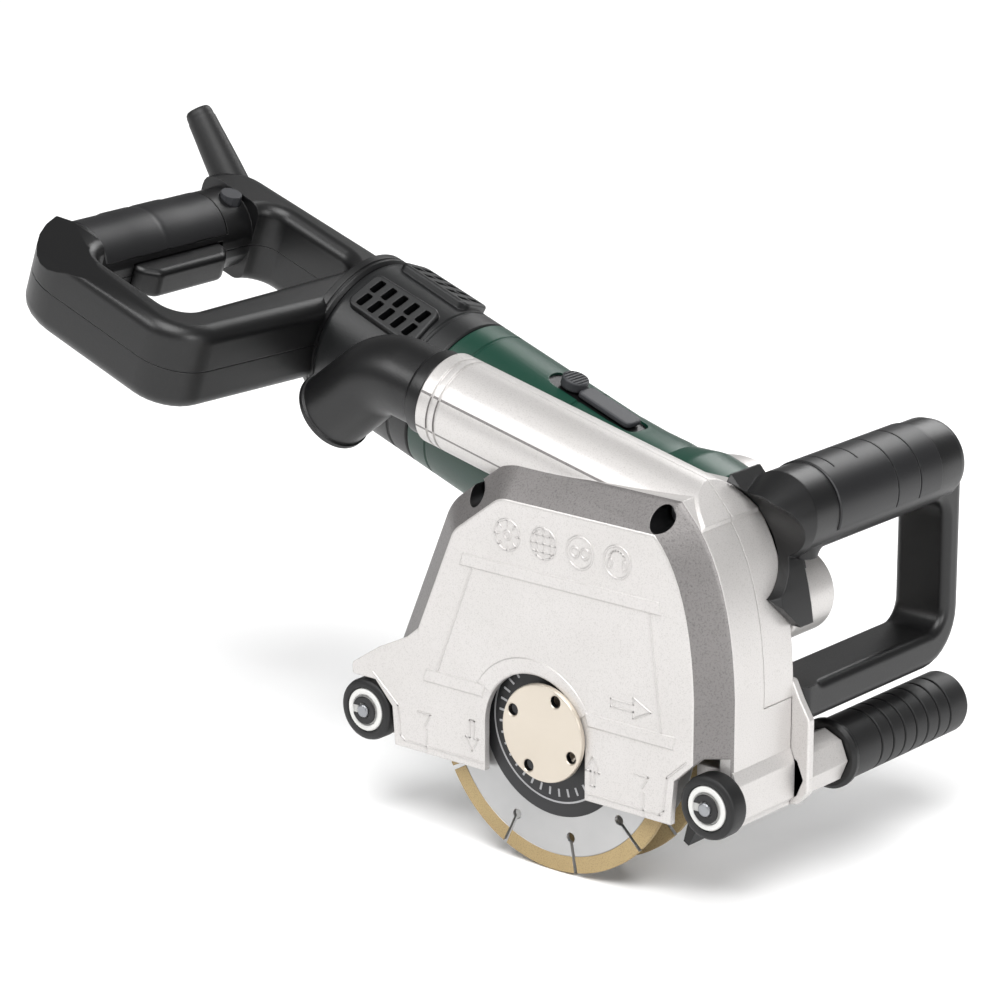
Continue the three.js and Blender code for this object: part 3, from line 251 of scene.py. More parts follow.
@dataclass(frozen=True)
class SpeckledCast(Finish):
    """Metallic paint on a rough casting: bright and dark flecks under a millimetre across."""

    fleck_mm: float = 0.9
    dark: str = "#5f5f5f"

    def tone(self, tree: bpy.types.NodeTree, place: bpy.types.NodeSocket) -> bpy.types.NodeSocket:
        """Makes the flecked colour.

        Args:
            tree: The material's tree.
            place: The coordinates to read.

        Returns:
            A colour socket.
        """
        base = super().tone(tree, place)
        scale = 1 / (self.fleck_mm * MM)
        noise = {"Vector": place, "Scale": scale, "Detail": 2.0, "Roughness": 0.7}
        window = {"From Min": 0.5, "From Max": 0.72, "To Max": 0.55}
        return blended(tree, noise, window, (base, linear(self.dark)))


# Silver paint on the flat of a die casting: near white, satin, with very fine flake.
SILVER_PAINT = SpeckledCast(
    "silver_painted_casting", "#cfccca", "#c1bebb", 0.36, 0.5, 0.5, 0.02, dark="#aca9a6",
    fleck_mm=0.6
)
# The same paint over the coarse shot-blasted shoulders. The flecks are the blasted grain, and the
# darker tone is painted shade for faces that turn away from the light.
BLASTED_SILVER_PAINTED_SHADE = SpeckledCast(
    "silver_blasted_casting", "#83807f", "#6c6968", 0.46, 0.6, 0.9, 0.08, dark="#4c4a49",
    fleck_mm=0.8
)
# Black glass-filled nylon; the same black also serves as painted shade on the walls of the nut's
# spanner holes and of the hood's screw recesses.
BLACK_PLASTIC_AND_PAINTED_SHADE = Finish("glass_filled_nylon_black", "#0b0b0c", "#070708", 0.36, 0.0, 0.7, 0.035)
SOFT_GRIP = Finish("thermoplastic_elastomer_grip", "#141416", "#0d0d0f", 0.42, 0.0, 0.5, 0.03)
GREY_PLASTIC = Finish("glass_filled_nylon_dark_grey", "#101112", "#0a0b0c", 0.4, 0.0, 0.8, 0.03)
LIGHT_GREY_PLASTIC = Finish("abs_mid_grey", "#36373a", "#2a2b2e", 0.5, 0.0, 0.8, 0.02)
GREEN_PLASTIC = Finish("glass_filled_nylon_green", "#04382a", "#032a20", 0.34, 0.0, 0.7, 0.02)
RUBBER = Finish("moulded_rubber", "#0d0d0e", "#080809", 0.5, 0.0, 0.6, 0.03)
WHITE_PLASTIC = Finish("acetal_white", "#d9d9d6", "#c6c6c2", 0.4, 0.0, 1.2, 0.01)
BRIGHT_STEEL = TurnedSteel("faced_steel_warm", "#d3cabd", "#c4baab", 0.34, 0.85, relief_mm=0.01)
GROUND_STEEL = TurnedSteel("ground_disc_steel", "#b9b9b9", "#8f8f90", 0.34, 0.85, relief_mm=0.012)
MACHINED_STEEL = Finish("machined_steel", "#9c9ea1", "#808286", 0.32, 0.95, 0.6, 0.01)
COPPER = Finish("enamelled_copper_wire", "#a5603a", "#7c4426", 0.35, 0.8, 0.8, 0.05)
BRASS = Finish("drawn_brass", "#c09a54", "#9c7a3c", 0.3, 0.9, 0.8, 0.01)
PRINT_BLACK = Finish("disc_print_black", "#1a1a1c", "#2c2c2f", 0.45, 0.1, 0.4, 0.004)
PRINT_SILVER = Finish("disc_print_silver", "#b4b4b6", "#97979a", 0.4, 0.5, 0.4, 0.004)
# Sintered segments: sandy bronze with the diamond grit drawn coarse enough to show.
DIAMOND = SpeckledCast(
    "sintered_diamond_bronze", "#b29d74", "#8c7650", 0.62, 0.35, 0.5, 0.16, fleck_mm=0.55,
    dark="#5d4a2e"
)
FLOOR = Finish("matt_studio_floor", "#fafafa", "#f7f7f7", 0.8, 0.0, 3.0, 0.0, edge_mm=0.05)


# ------------------------------------------------------------------------------ shaping


class Union(Enum):
    """How two blanks are combined."""

    ADD = "UNION"
    CUT = "DIFFERENCE"
    KEEP = "INTERSECT"


class Blank:
    """A closed mesh that is being shaped, in millimetres, at its place in its frame."""

    def __init__(self, mesh: bpy.types.Mesh) -> None:
        """Wraps a mesh as a blank."""
        self.object = bpy.data.objects.new("blank", mesh)
        bpy.context.scene.collection.objects.link(self.object)

    @classmethod
    def of_bmesh(cls, shape: bmesh.types.BMesh) -> "Blank":
        """Makes a blank of a bmesh, with its faces turned outwards.

        Args:
            shape: The bmesh, which is used up.

        Returns:
            The blank.
        """
        bmesh.ops.recalc_face_normals(shape, faces=shape.faces)
        mesh = bpy.data.meshes.new("blank")
        shape.to_mesh(mesh)
        shape.free()
        return cls(mesh)

    @classmethod
    def lofted(
        cls, rings: Sequence[tuple[Sequence[Point], float]], place: Matrix | None = None
    ) -> "Blank":
        """Skins outlines of equal point counts, laid one above the other.

        Args:
            rings: Each an outline and the height that it lies at.
            place: Where the outlines' axes go; the heights run along its third axis.

        Returns:
            The closed blank.
        """
        shape = bmesh.new()
        loops = [[shape.verts.new((x, y, h)) for x, y in outline] for outline, h in rings]
        count = len(loops[0])
        for low, high in zip(loops, loops[1:]):
            for i in range(count):
                j = (i + 1) % count
                shape.faces.new((low[i], low[j], high[j], high[i]))
        shape.faces.new(loops[0])
        shape.faces.new(loops[-1])
        if place is not None:
            shape.transform(place)
        return cls.of_bmesh(shape)

    @classmethod
    def turned(
        cls, profile: Sequence[Point], place: Matrix | None = None, steps: int = 72
    ) -> "Blank":
        """Turns a profile of (radius, height) about the third axis.

        Args:
            profile: Starts and ends on the axis, or closes on itself.
            place: Where the axes go.
            steps: Facets round the axis.

        Returns:
            The closed blank.
        """
        shape = bmesh.new()
        rings = []
        for radius, height in profile:
            spots = disc_outline(radius, steps) if radius >= 1e-6 else [(0, 0)]
            rings.append([shape.verts.new((x, y, height)) for x, y in spots])
        pairs = list(zip(rings, rings[1:]))
        if len(rings[0]) > 1:
            pairs.append((rings[-1], rings[0]))
        for a, b in pairs:
            for i in range(steps):
                j = (i + 1) % steps
                corners = [a[i % len(a)], a[j % len(a)], b[j % len(b)], b[i % len(b)]]
                unique = list(dict.fromkeys(corners))
                if len(unique) > 2:
                    shape.faces.new(unique)
        if place is not None:
            shape.transform(place)
        return cls.of_bmesh(shape)

    @classmethod
    def block(
        cls, low: Sequence[float], high: Sequence[float], place: Matrix | None = None
    ) -> "Blank":
        """Makes a box between two corners."""
        outline = [(low[0], low[1]), (high[0], low[1]), (high[0], high[1]), (low[0], high[1])]
        return cls.lofted([(outline, low[2]), (outline, high[2])], place)

    def settle(self) -> None:
        """Turns the modifiers' result into the blank's own mesh."""
        graph = bpy.context.evaluated_depsgraph_get()
        mesh = bpy.data.meshes.new_from_object(self.object.evaluated_get(graph))
        self.object.modifiers.clear()
        self.object.data = mesh

    def combine(self, how: Union, *others: "Blank") -> "Blank":
        """Adds, cuts or keeps what is common with other blanks, which are used up.

        Args:
            how: The way to combine.
            others: The blanks to combine with.

        Returns:
            This blank.
        """
        for other in others:
            step = self.object.modifiers.new("combine", "BOOLEAN")
            step.object = other.object
            step.operation = how.value
            step.solver = "EXACT"
            self.settle()
            other.discard()
        return self

    def add(self, *others: "Blank") -> "Blank":
        """Joins other blanks on."""
        return self.combine(Union.ADD, *others)

    def cut(self, *others: "Blank") -> "Blank":
        """Cuts other blanks out."""
        return self.combine(Union.CUT, *others)

    def keep(self, *others: "Blank") -> "Blank":
        """Keeps only what is inside the other blanks too."""
        return self.combine(Union.KEEP, *others)

    def with_loose(self, *others: "Blank") -> "Blank":
        """Takes other blanks into this mesh as bodies of their own, without a boolean.

        Args:
            others: The blanks to take in, which are used up.

        Returns:
            This blank.
        """
        for other in others:
            shape = bmesh.new()
            shape.from_mesh(self.object.data)
            shape.from_mesh(other.object.data)
            mesh = bpy.data.meshes.new("blank")
            shape.to_mesh(mesh)
            shape.free()
            self.object.data = mesh
            other.discard()
        return self

    def moved(self, matrix: Matrix) -> "Blank":
        """Moves the mesh by a matrix.

        Args:
            matrix: The move.

        Returns:
            This blank.
        """
        self.object.data.transform(matrix)
        if matrix.determinant() < 0:
            self.object.data.flip_normals()
        return self

    def discard(self) -> None:
        """Removes the blank."""
        bpy.data.objects.remove(self.object)

    def clean(self, distance: float = 0.02) -> "Blank":
        """Merges points that all but touch.

        Args:
            distance: How near counts.

        Returns:
            This blank.
        """
        shape = bmesh.new()
        shape.from_mesh(self.object.data)
        bmesh.ops.remove_doubles(shape, verts=shape.verts, dist=distance)
        shape.to_mesh(self.object.data)
        shape.free()
        return self

    def piece(
        self,
        name: str,
        body: str,
        replaces: Sequence[str],
        slot: str,
        finish: Finish,
        zones: Sequence[tuple[Finish, Test]] = (),
        crease: float = 32.0,
    ) -> bpy.types.Object:
        """Finishes the blank as a piece of the machine, in metres.

        Args:
            name: The piece's name.
            body: The body that it rides on.
            replaces: The frame's nodes that it stands for.
            slot: The record's material slot; not used.
            finish: Its main finish.
            zones: Other finishes, each with a test on a face's centre in mm and its normal.
            crease: Edges sharper than this, in degrees, stay sharp.

        Returns:
            The finished object.
        """
        shape = bmesh.new()
        shape.from_mesh(self.object.data)
        bmesh.ops.remove_doubles(shape, verts=shape.verts, dist=0.004)
        bmesh.ops.dissolve_degenerate(shape, edges=shape.edges, dist=0.002)
        for face in shape.faces:
            face.smooth = True
            face.material_index = 0
            centre = face.calc_center_median()
            for index, (_, test) in enumerate(zones, start=1):
                if test(centre, face.normal):
                    face.material_index = index
        for edge in shape.edges:
            if len(edge.link_faces) == 2:
                edge.smooth = edge.calc_face_angle(0.0) < math.radians(crease)
        bmesh.ops.scale(shape, vec=(MM, MM, MM), verts=shape.verts)
        mesh = bpy.data.meshes.new(name)
        shape.to_mesh(mesh)
        shape.free()
        for one in (finish, *(zone[0] for zone in zones)):
            mesh.materials.append(one.material())
        self.discard()
        piece = bpy.data.objects.new(name, mesh)
        bpy.context.scene.collection.objects.link(piece)
        piece.modifiers.new("even_shading", "WEIGHTED_NORMAL").keep_sharp = True
        graph = bpy.context.evaluated_depsgraph_get()
        shaded = bpy.data.meshes.new_from_object(piece.evaluated_get(graph))
        piece.modifiers.clear()
        piece.data = shaded
        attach(piece, body)
        if replaces:
            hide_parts(*replaces)
        LOG.info("%s: %d faces on %s", name, len(mesh.polygons), body)
        return piece


def facing_y(x: float = 0.0, z: float = 0.0) -> Matrix:
    """Returns the placing that lays an (x, z) outline on a wall and builds it along +Y."""
    return Matrix(((1, 0, 0, x), (0, 0, 1, 0), (0, 1, 0, z), (0, 0, 0, 1)))


def facing(start: Vector, axis: Vector) -> Matrix:
    """Returns the placing whose third axis is the given one.

    Args:
        start: Where the origin goes.
        axis: Where the third axis points.

    Returns:
        The placing.
    """
    w = axis.normalized()
    hint = Vector((0, 0, 1)) if abs(w.z) < 0.9 else Vector((1, 0, 0))
    u = hint.cross(w).normalized()
    placing = Matrix((u, w.cross(u), w)).transposed().to_4x4()
    placing.translation = start
    return placing


def half_space(start: Vector, axis: Vector) -> "Blank":
    """Makes a slab that takes away what lies past a point, seen along an axis."""
    return Blank.block((-200, -200, 0), (200, 200, FAR), facing(start, axis))


def filleted(corners: Sequence[tuple[float, float, float]], steps: int = 8) -> list[Point]:
    """Rounds an outline's corners.

    Args:
        corners: Each a point and its corner radius.
        steps: Points along each rounded corner.

    Returns:
        The rounded outline.
    """
    points: list[Point] = []
    count = len(corners)
    for i, (x, y, radius) in enumerate(corners):
        here = Vector((x, y))
        before = Vector(corners[i - 1][:2]) - here
        after = Vector(corners[(i + 1) % count][:2]) - here
        if radius <= 0 or before.length < 1e-6 or after.length < 1e-6:
            points.append((x, y))
            continue
        a, b = before.normalized(), after.normalized()
        half = a.angle(b) / 2
        if half > math.radians(89.5):
            points.append((x, y))
            continue
        reach = min(radius / math.tan(half), before.length * 0.49, after.length * 0.49)
        centre = here + (a + b).normalized() * (reach / math.cos(half))
        first, last = here + a * reach - centre, here + b * reach - centre
        sweep = first.angle_signed(last)
        for k in range(steps + 1):
            turn = -sweep * k / steps
            c, s = math.cos(turn), math.sin(turn)
            points.append(
                (centre.x + first.x * c - first.y * s, centre.y + first.x * s + first.y * c)
            )
    return points


def grown(outline: Sequence[Point], distance: float) -> list[Point]:
    """Moves an outline outwards, or inwards for a negative distance.

    Args:
        outline: The points, in either direction round.
        distance: How far each side moves.

    Returns:
        As many points as came in.
    """
    count = len(outline)
    area = sum(
        outline[i][0] * outline[(i + 1) % count][1] - outline[(i + 1) % count][0] * outline[i][1]
        for i in range(count)
    )
    side = 1.0 if area > 0 else -1.0
    result = []
    for i, (x, y) in enumerate(outline):
        back, on = outline[i - 1], outline[(i + 1) % count]
        a = Vector((x - back[0], y - back[1]))
        b = Vector((on[0] - x, on[1] - y))
        a = a.normalized() if a.length > 1e-9 else b.normalized()
        b = b.normalized() if b.length > 1e-9 else a
        na, nb = Vector((a.y, -a.x)), Vector((b.y, -b.x))
        middle = na + nb
        middle = middle.normalized() if middle.length > 1e-6 else na
        scale = distance * side / max(middle.dot(na), 0.35)
        result.append((x + middle.x * scale, y + middle.y * scale))
    return result


def swung(point: Point, angle: float) -> Point:
    """Finds where a point of the drive gets to when the drive has swung up about its pivot.

    Args:
        point: The point, as (x, z).
        angle: The swing.

    Returns:
        Its new place.
    """
    x, z = point[0] - PIVOT[0], point[1] - PIVOT[1]
    c, s = math.cos(angle), math.sin(angle)
    return (x * c + z * s + PIVOT[0], -x * s + z * c + PIVOT[1])


def cushioned(
    outline: Sequence[Point], low: float, high: float, radius: float, place: Matrix | None = None,
    steps: int = 5
) -> Blank:
    """Builds an outline into a block whose two rims are rounded.

    Args:
        outline: The widest outline.
        low: The lower face.
        high: The upper face.
        radius: The rims' radius; below zero it flares them, as a cutter for a rounded hole.
        place: Where the axes go.
        steps: Rings on each rim.

    Returns:
        The closed blank.
    """
    size = abs(radius)
    rims = []
    for k in range(steps + 1):
        angle = math.pi / 2 * k / steps
        inset = size * (1 - math.sin(angle)) * (1 if radius > 0 else -1)
        rims.append((grown(outline, -inset), size * (1 - math.cos(angle))))
    rings = [(rim, low + rise) for rim, rise in rims]
    rings += [(rim, high - rise) for rim, rise in reversed(rims)]
    if radius < 0:
        rings = [(rings[0][0], low - 5), *rings, (rings[-1][0], high + 5)]
    return Blank.lofted(rings, place)


def disc_outline(radius: float, steps: int = 64, x: float = 0.0, y: float = 0.0) -> list[Point]:
    """Returns a round outline.

    Args:
        radius: The radius.
        steps: Points round.
        x: The centre's first coordinate.
        y: The centre's second one.

    Returns:
        The points.
    """
    return [
        (x + radius * math.cos(i * TURN / steps), y + radius * math.sin(i * TURN / steps))
        for i in range(steps)
    ]


def rod(start: Vector, end: Vector, radius: float, steps: int = 48) -> Blank:
    """Makes a round bar between two points.

    Args:
        start: Where it starts.
        end: Where it ends.
        radius: Its radius.
        steps: Facets round it.

    Returns:
        The bar.
    """
    length = (end - start).length
    return Blank.lofted(
        [(disc_outline(radius, steps), 0), (disc_outline(radius, steps), length)],
        facing(start, end - start)
    )


def rod_y(
    radius: float, start: float, stop: float, x: float = 0.0, z: float = 0.0, steps: int = 48
) -> Blank:
    """Makes a round bar along Y."""
    return rod(Vector((x, start, z)), Vector((x, stop, z)), radius, steps)


def wall_block(outline: Sequence[Point], start: float, stop: float) -> Blank:
    """Builds an (x, z) outline along Y."""
    return Blank.lofted([(outline, start), (outline, stop)], facing_y())


# ------------------------------------------------------------------------------ repeats


class Layout(Enum):
    """How a repeated blank is laid out."""

    RING = "ring"
    ROW = "row"


def new_tree(name: str, sockets: dict[str, str]) -> bpy.types.NodeTree:
    """Makes a Geometry Nodes tree with named inputs and one geometry output.

    Args:
        name: The tree's name.
        sockets: Each input's name and the kind of its socket.

    Returns:
        The tree, still without nodes.
    """
    tree = bpy.data.node_groups.new(name, "GeometryNodeTree")
    for socket, kind in sockets.items():
        tree.interface.new_socket(socket, in_out="INPUT", socket_type=f"NodeSocket{kind}")
    tree.interface.new_socket("Geometry", in_out="OUTPUT", socket_type="NodeSocketGeometry")
    return tree


def close_tree(tree: bpy.types.NodeTree, shape: bpy.types.NodeSocket, finish: Finish) -> None:
    """Ends a tree with its instances made real and its finish set.

    Args:
        tree: The tree.
        shape: What it has made.
        finish: The finish to set.
    """
    real = add_node(tree, "GeometryNodeRealizeInstances", {"Geometry": shape})
    sources = {"Geometry": real.outputs["Geometry"], "Material": finish.material()}
    dressed = add_node(tree, "GeometryNodeSetMaterial", sources)
    add_node(tree, "NodeGroupOutput", {"Geometry": dressed.outputs["Geometry"]})


def run_tree(host: Blank, tree: bpy.types.NodeTree, values: dict[str, object]) -> None:
    """Runs a tree on a blank, which becomes the tree's result.

    Args:
        host: The blank.
        tree: The tree to run.
        values: The tree's inputs, by name.
    """
    grower = host.object.modifiers.new("pattern", "NODES")
    grower.node_group = tree
    for item in tree.interface.items_tree:
        if item.in_out == "INPUT" and item.name in values:
            grower[item.identifier] = values[item.name]
    host.settle()


@dataclass
class Repeat:
    """A Geometry Nodes tree that repeats one blank round a ring or along a row."""

    layout: Layout
    finish: Finish

    def tree(self) -> bpy.types.NodeTree:
        """Returns the layout's node tree, made on first use.

        Returns:
            The tree.
        """
        name = f"repeat_{self.layout.value}_{self.finish.name}"
        known = bpy.data.node_groups.get(name)
        if known:
            return known
        kinds = {"Tool": "Object", "Count": "Int", "Radius": "Float", "Phase": "Float"}
        tree = new_tree(name, {**kinds, "Step": "Vector"})
        given = add_node(tree, "NodeGroupInput").outputs
        tool = add_node(tree, "GeometryNodeObjectInfo", {"Object": given["Tool"]})
        sources = {"Instance": tool.outputs["Geometry"]}
        if self.layout is Layout.RING:
            circle = {"Vertices": given["Count"], "Radius": given["Radius"]}
            points = add_node(tree, "GeometryNodeMeshCircle", circle)
            index = add_node(tree, "GeometryNodeInputIndex").outputs["Index"]
            share = {0: TURN, 1: given["Count"]}
            pitch = add_node(tree, "ShaderNodeMath", share, operation="DIVIDE").outputs["Value"]
            angle = add_node(tree, "ShaderNodeMath", {0: index, 1: pitch}, operation="MULTIPLY")
            turn = add_node(tree, "ShaderNodeCombineXYZ", {"Z": angle.outputs["Value"]})
            sources["Rotation"] = turn.outputs["Vector"]
        else:
            line = {"Count": given["Count"], "Offset": given["Step"]}
            points = add_node(tree, "GeometryNodeMeshLine", line)
        sources["Points"] = points.outputs["Mesh"]
        last = add_node(tree, "GeometryNodeInstanceOnPoints", sources).outputs["Instances"]
        if self.layout is Layout.RING:
            phase = add_node(tree, "ShaderNodeCombineXYZ", {"Z": given["Phase"]}).outputs["Vector"]
            sources = {"Geometry": last, "Rotation": phase}
            last = add_node(tree, "GeometryNodeTransform", sources).outputs["Geometry"]
        close_tree(tree, last, self.finish)
        return tree

    def lay(
        self,
        tool: Blank,
        count: int,
        radius: float = 0.0,
        phase: float = 0.0,
        step: Sequence[float] = (0, 0, 0),
        place: Matrix | None = None,
    ) -> Blank:
        """Repeats a tool and returns the copies as one blank.

        Args:
            tool: The blank to repeat, which is used up.
            count: How many.
            radius: The ring's radius.
            phase: The first copy's angle.
            step: The way from one copy to the next in a row.
            place: Where the pattern's axes go.

        Returns:
            The copies.
        """
        host = Blank(bpy.data.meshes.new("pattern"))
        values = {"Tool": tool.object, "Count": count, "Radius": radius, "Phase": phase}
        run_tree(host, self.tree(), {**values, "Step": tuple(step)})
        tool.discard()
        if place is not None:
            host.moved(place)
        return host


@dataclass
class Pipe:
    """A Geometry Nodes tree that sweeps a round section along a path with rounded corners."""

    finish: Finish

    def tree(self) -> bpy.types.NodeTree:
        """Returns the sweep's node tree, made on first use.

        Returns:
            The tree.
        """
        known = bpy.data.node_groups.get("swept_pipe")
        if known:
            return known
        tree = new_tree("swept_pipe", {"Path": "Geometry", "Radius": "Float", "Bend": "Float"})
        given = add_node(tree, "NodeGroupInput").outputs
        curve = add_node(tree, "GeometryNodeMeshToCurve", {"Mesh": given["Path"]})
        corners = {"Curve": curve.outputs["Curve"], "Radius": given["Bend"]}
        bent = add_node(tree, "GeometryNodeFilletCurve", corners)
        if "Mode" in bent.inputs:
            bent.inputs["Mode"].default_value = "Poly"
        else:
            bent.mode = "POLY"
        bent.inputs["Count"].default_value = 14
        circle = {"Resolution": 64, "Radius": given["Radius"]}
        section = add_node(tree, "GeometryNodeCurvePrimitiveCircle", circle)
        sources = {"Curve": bent.outputs["Curve"], "Profile Curve": section.outputs["Curve"]}
        swept = add_node(tree, "GeometryNodeCurveToMesh", {**sources, "Fill Caps": True})
        close_tree(tree, swept.outputs["Mesh"], self.finish)
        return tree

    def sweep(self, path: Sequence[Vector], radius: float, bend: float) -> Blank:
        """Sweeps a solid round bar along a path.

        Args:
            path: The path's corners.
            radius: The bar's radius.
            bend: The radius of the bend at each corner.

        Returns:
            The closed blank.
        """
        mesh = bpy.data.meshes.new("path")
        mesh.from_pydata([tuple(p) for p in path], [(i, i + 1) for i in range(len(path) - 1)], [])
        host = Blank(mesh)
        run_tree(host, self.tree(), {"Radius": radius, "Bend": bend})
        host.clean()
        shape = bmesh.new()
        shape.from_mesh(host.object.data)
        host.discard()
        return Blank.of_bmesh(shape)


# ------------------------------------------------------------------------------ hood


@dataclass
class Hood:
    """The cast hood: two shells with half of the extraction tube on each."""

    face_y: float = 3.2
    back_y: float = 55.2
    parting_y: float = 34.0
    wall: float = 3.0
    skirt_z: float = -25.0
    shoulder_depth: float = 11.0
    shoulder_width: float = 13.0
    window: tuple[float, float, float] = (-6.3, -3.4, 26.8)
    tube_start: Vector = field(default_factory=lambda: Vector((-80, 34, 122.5)))
    tube_slope: float = math.radians(12.5)
    tube_radius: float = 20.4
    tube_wall: float = 3.0
    tube_length: float = 152.0
    screws: tuple[Point, ...] = ((-43, 93), (55, 101.5))
    screw_recess: float = 5.2
    wheel_x: Point = (FRONT_X, REAR_X)
    axle_bore: float = 3.3

    def outline(self, grow: float = 0.0) -> list[Point]:
        """Returns the cover's face outline, run on below the skirt, moved outwards.

        Args:
            grow: How far it is moved.

        Returns:
            The points.
        """
        nose = []
        for k in range(11):
            t = k / 10
            x = 54.6 * (1 - t) ** 2 + 73 * 2 * t * (1 - t) + 75.2 * t * t
            z = 95.6 * (1 - t) ** 2 + 78 * 2 * t * (1 - t) + 30 * t * t
            nose.append((x, z, 0.0))
        corners = [
            (-82, -90, 0), (-82, 0, 14), (-50, 77, 12), (-25.5, 95.6, 12), *nose, (75.2, -90, 0)
        ]
        return grown(filleted(corners, 6), grow)

    def along(self, distance: float) -> Vector:
        """Returns a point on the tube's axis, measured forwards from its rear end."""
        forward = Vector((math.cos(self.tube_slope), 0, -math.sin(self.tube_slope)))
        return self.tube_start + forward * distance

    def casting(self) -> Blank:
        """Builds the hood's outside without its tube.

        Returns:
            The casting.
        """
        depth, width = self.shoulder_depth, self.shoulder_width
        rings = [
            (self.outline(-0.7), self.face_y),
            (self.outline(0.5), self.face_y + 0.5),
            (self.outline(width - 1.2), self.face_y + depth - 0.9),
            (self.outline(width - 0.2), self.face_y + depth + 0.4),
            (self.outline(width), self.face_y + depth + 1.6),
            (self.outline(width), self.back_y - 2.0),
            (self.outline(width - 0.6), self.back_y - 0.6),
            (self.outline(width - 2.0), self.back_y),
        ]
        return Blank.lofted(rings, facing_y())

    def body(self) -> Blank:
        """Builds the hood's outside with the tube laid into it.

        Returns:
            The body.
        """
        r, length = self.tube_radius, self.tube_length
        profile = [(0, 0), (r - 0.8, 0), (r, 0.8)]
        for groove in (7.0, 11.0):
            profile += [
                (r, groove - 0.7), (r - 0.7, groove - 0.4), (r - 0.7, groove + 0.4),
                (r, groove + 0.7),
            ]
        profile += [(r, 30), (r, 60), (r, 90), (r, 120), (r, length), (0, length)]
        tube = Blank.turned(profile, facing(self.along(0), self.along(1) - self.along(0)), 120)
        tube.cut(half_space(Vector((58, 34, 113)), Vector((0.735, 0, 0.678))))
        below = Blank.block((-FAR, -50, -FAR), (FAR, 200, self.skirt_z))
        return self.casting().add(tube).cut(below)

    def chamber(self) -> Blank:
        """Builds the hood's inside: the disc chamber and the bore of the tube.

        Returns:
            The cutter.
        """
        width = self.shoulder_width - self.wall
        start = self.face_y + self.wall
        rings = [
            (self.outline(0), start),
            (self.outline(width), start + self.shoulder_depth),
            (self.outline(width), self.back_y - self.wall),
        ]
        bore = rod(
            self.along(-5), self.along(self.tube_length - 20), self.tube_radius - self.tube_wall, 72
        )
        return Blank.lofted(rings, facing_y()).add(bore)

    def saw_teeth(self) -> Blank:
        """Makes the cutters for the stepped ribs down the rear edge of the rim.

        Returns:
            The cutters, as one blank.
        """
        along = Vector((0.384, 0.923))
        out = Vector((-0.923, 0.384))
        start = Vector((-93.6, 12.0))
        corners = [
            start + out * 3, start, start + along * 15 - out * 1.7, start + along * 16.5,
            start + along * 17 + out * 3,
        ]
        wedge = wall_block([tuple(p) for p in corners], 5, 33)
        step = (along.x * 18.5, 0, along.y * 18.5)
        return Repeat(Layout.ROW, BLASTED_SILVER_PAINTED_SHADE).lay(wedge, 4, step=step)

    def wheel_rooms(self) -> list[Blank]:
        """Makes the cutters that give each wheel its room."""
        front = [(65, -40), (65, -22), (66.5, -5.7), (78.7, 5.8), (130, 5.8), (130, -40)]
        rear = [(-83, -40), (-83, -25), (-84.5, -8), (-94, 2), (-130, 2), (-130, -40)]
        return [wall_block(room, -20, 13.4) for room in (front, rear)]

    def cover(self) -> bpy.types.Object:
        """Builds the near shell with its window, screw recesses, wheel blocks and raised detail.

        Returns:
            The finished piece.
        """
        far_side = Blank.block((-FAR, self.parting_y, -200), (FAR, 200, FAR))
        shell = self.body().cut(self.chamber(), far_side)
        rear_block = filleted(
            [(-107, -25, 2), (-70, -25, 0), (-70, 24, 0), (-92, 16, 3), (-107, 5, 3)], 4
        )
        ear = filleted(
            [
                (-70, -25, 0), (-70, 30, 0), (-76, 25, 2), (-92, 17, 3), (-107, 7, 2), (-107, 2, 1),
                (-94, 2, 1), (-84.5, -8, 2), (-83, -25, 0),
            ],
            4
        )
        foot = filleted(
            [(70, -25, 0), (86.5, -25, 2), (90.5, -21, 2), (90.5, -6, 2), (88.2, 0, 1), (70, 0, 0)],
            4,
        )
        shell.add(
            wall_block(rear_block, 14, self.parting_y),
            wall_block(ear, self.face_y + 0.02, self.face_y + self.wall + 0.05),
            wall_block(foot, 14, 53),
            Blank.block((81.2, 33, -25), (88.2, 53, 21.7)),
        )
        for x, z in self.screws:
            shell.add(rod_y(7, 5, self.parting_y, x, z, 32).keep(self.casting()))
        x, z, radius = self.window
        disc_path = [swung((0, 0), k * SWING / 3) for k in range(4)]
        room = (self.face_y + self.wall, self.back_y - self.wall)
        shell.cut(
            rod_y(radius, -10, 24, x, z, 96),
            Blank.block((x - radius, -10, -100), (x + radius, 24, z)),
            *[rod_y(64, *room, *spot, 96) for spot in disc_path],
            self.saw_teeth(),
            *self.wheel_rooms(),
            *[rod_y(self.screw_recess, -10, 23, *spot, 40) for spot in self.screws],
            *[rod_y(self.axle_bore, 0, 24.4, wx, WHEEL_Z, 24) for wx in self.wheel_x],
        )
        shell.with_loose(*self.raised_marks())
        return shell.piece(
            "hood_cover_shell",
            "hood",
            ["hood_cover"],
            "cast_silver",
            SILVER_PAINT,
            # the shoulder faces get the darker flecked finish, its darkness painted shade
            [(BLASTED_SILVER_PAINTED_SHADE, self.on_shoulder_painted_shade), (BLACK_PLASTIC_AND_PAINTED_SHADE, self.in_recess_painted_shade)],
        )

    def on_shoulder_painted_shade(self, centre: Vector, normal: Vector) -> bool:
        """Tells whether a face is on the blasted shoulder, whose paint is flecked and drawn darker
        as painted shade.
        """
        from_face = centre.y - self.face_y
        return 0.3 < from_face < self.shoulder_depth + 1 and -0.93 < normal.y < -0.3

    def in_recess_painted_shade(self, centre: Vector, normal: Vector) -> bool:
        """Tells whether a face is inside a screw's recess, whose walls are painted black as painted
        shade.
        """
        reach = self.screw_recess + 0.2
        near = any(math.hypot(centre.x - x, centre.z - z) < reach for x, z in self.screws)
        return near and centre.y > self.face_y + 0.6 and abs(normal.y) < 0.5

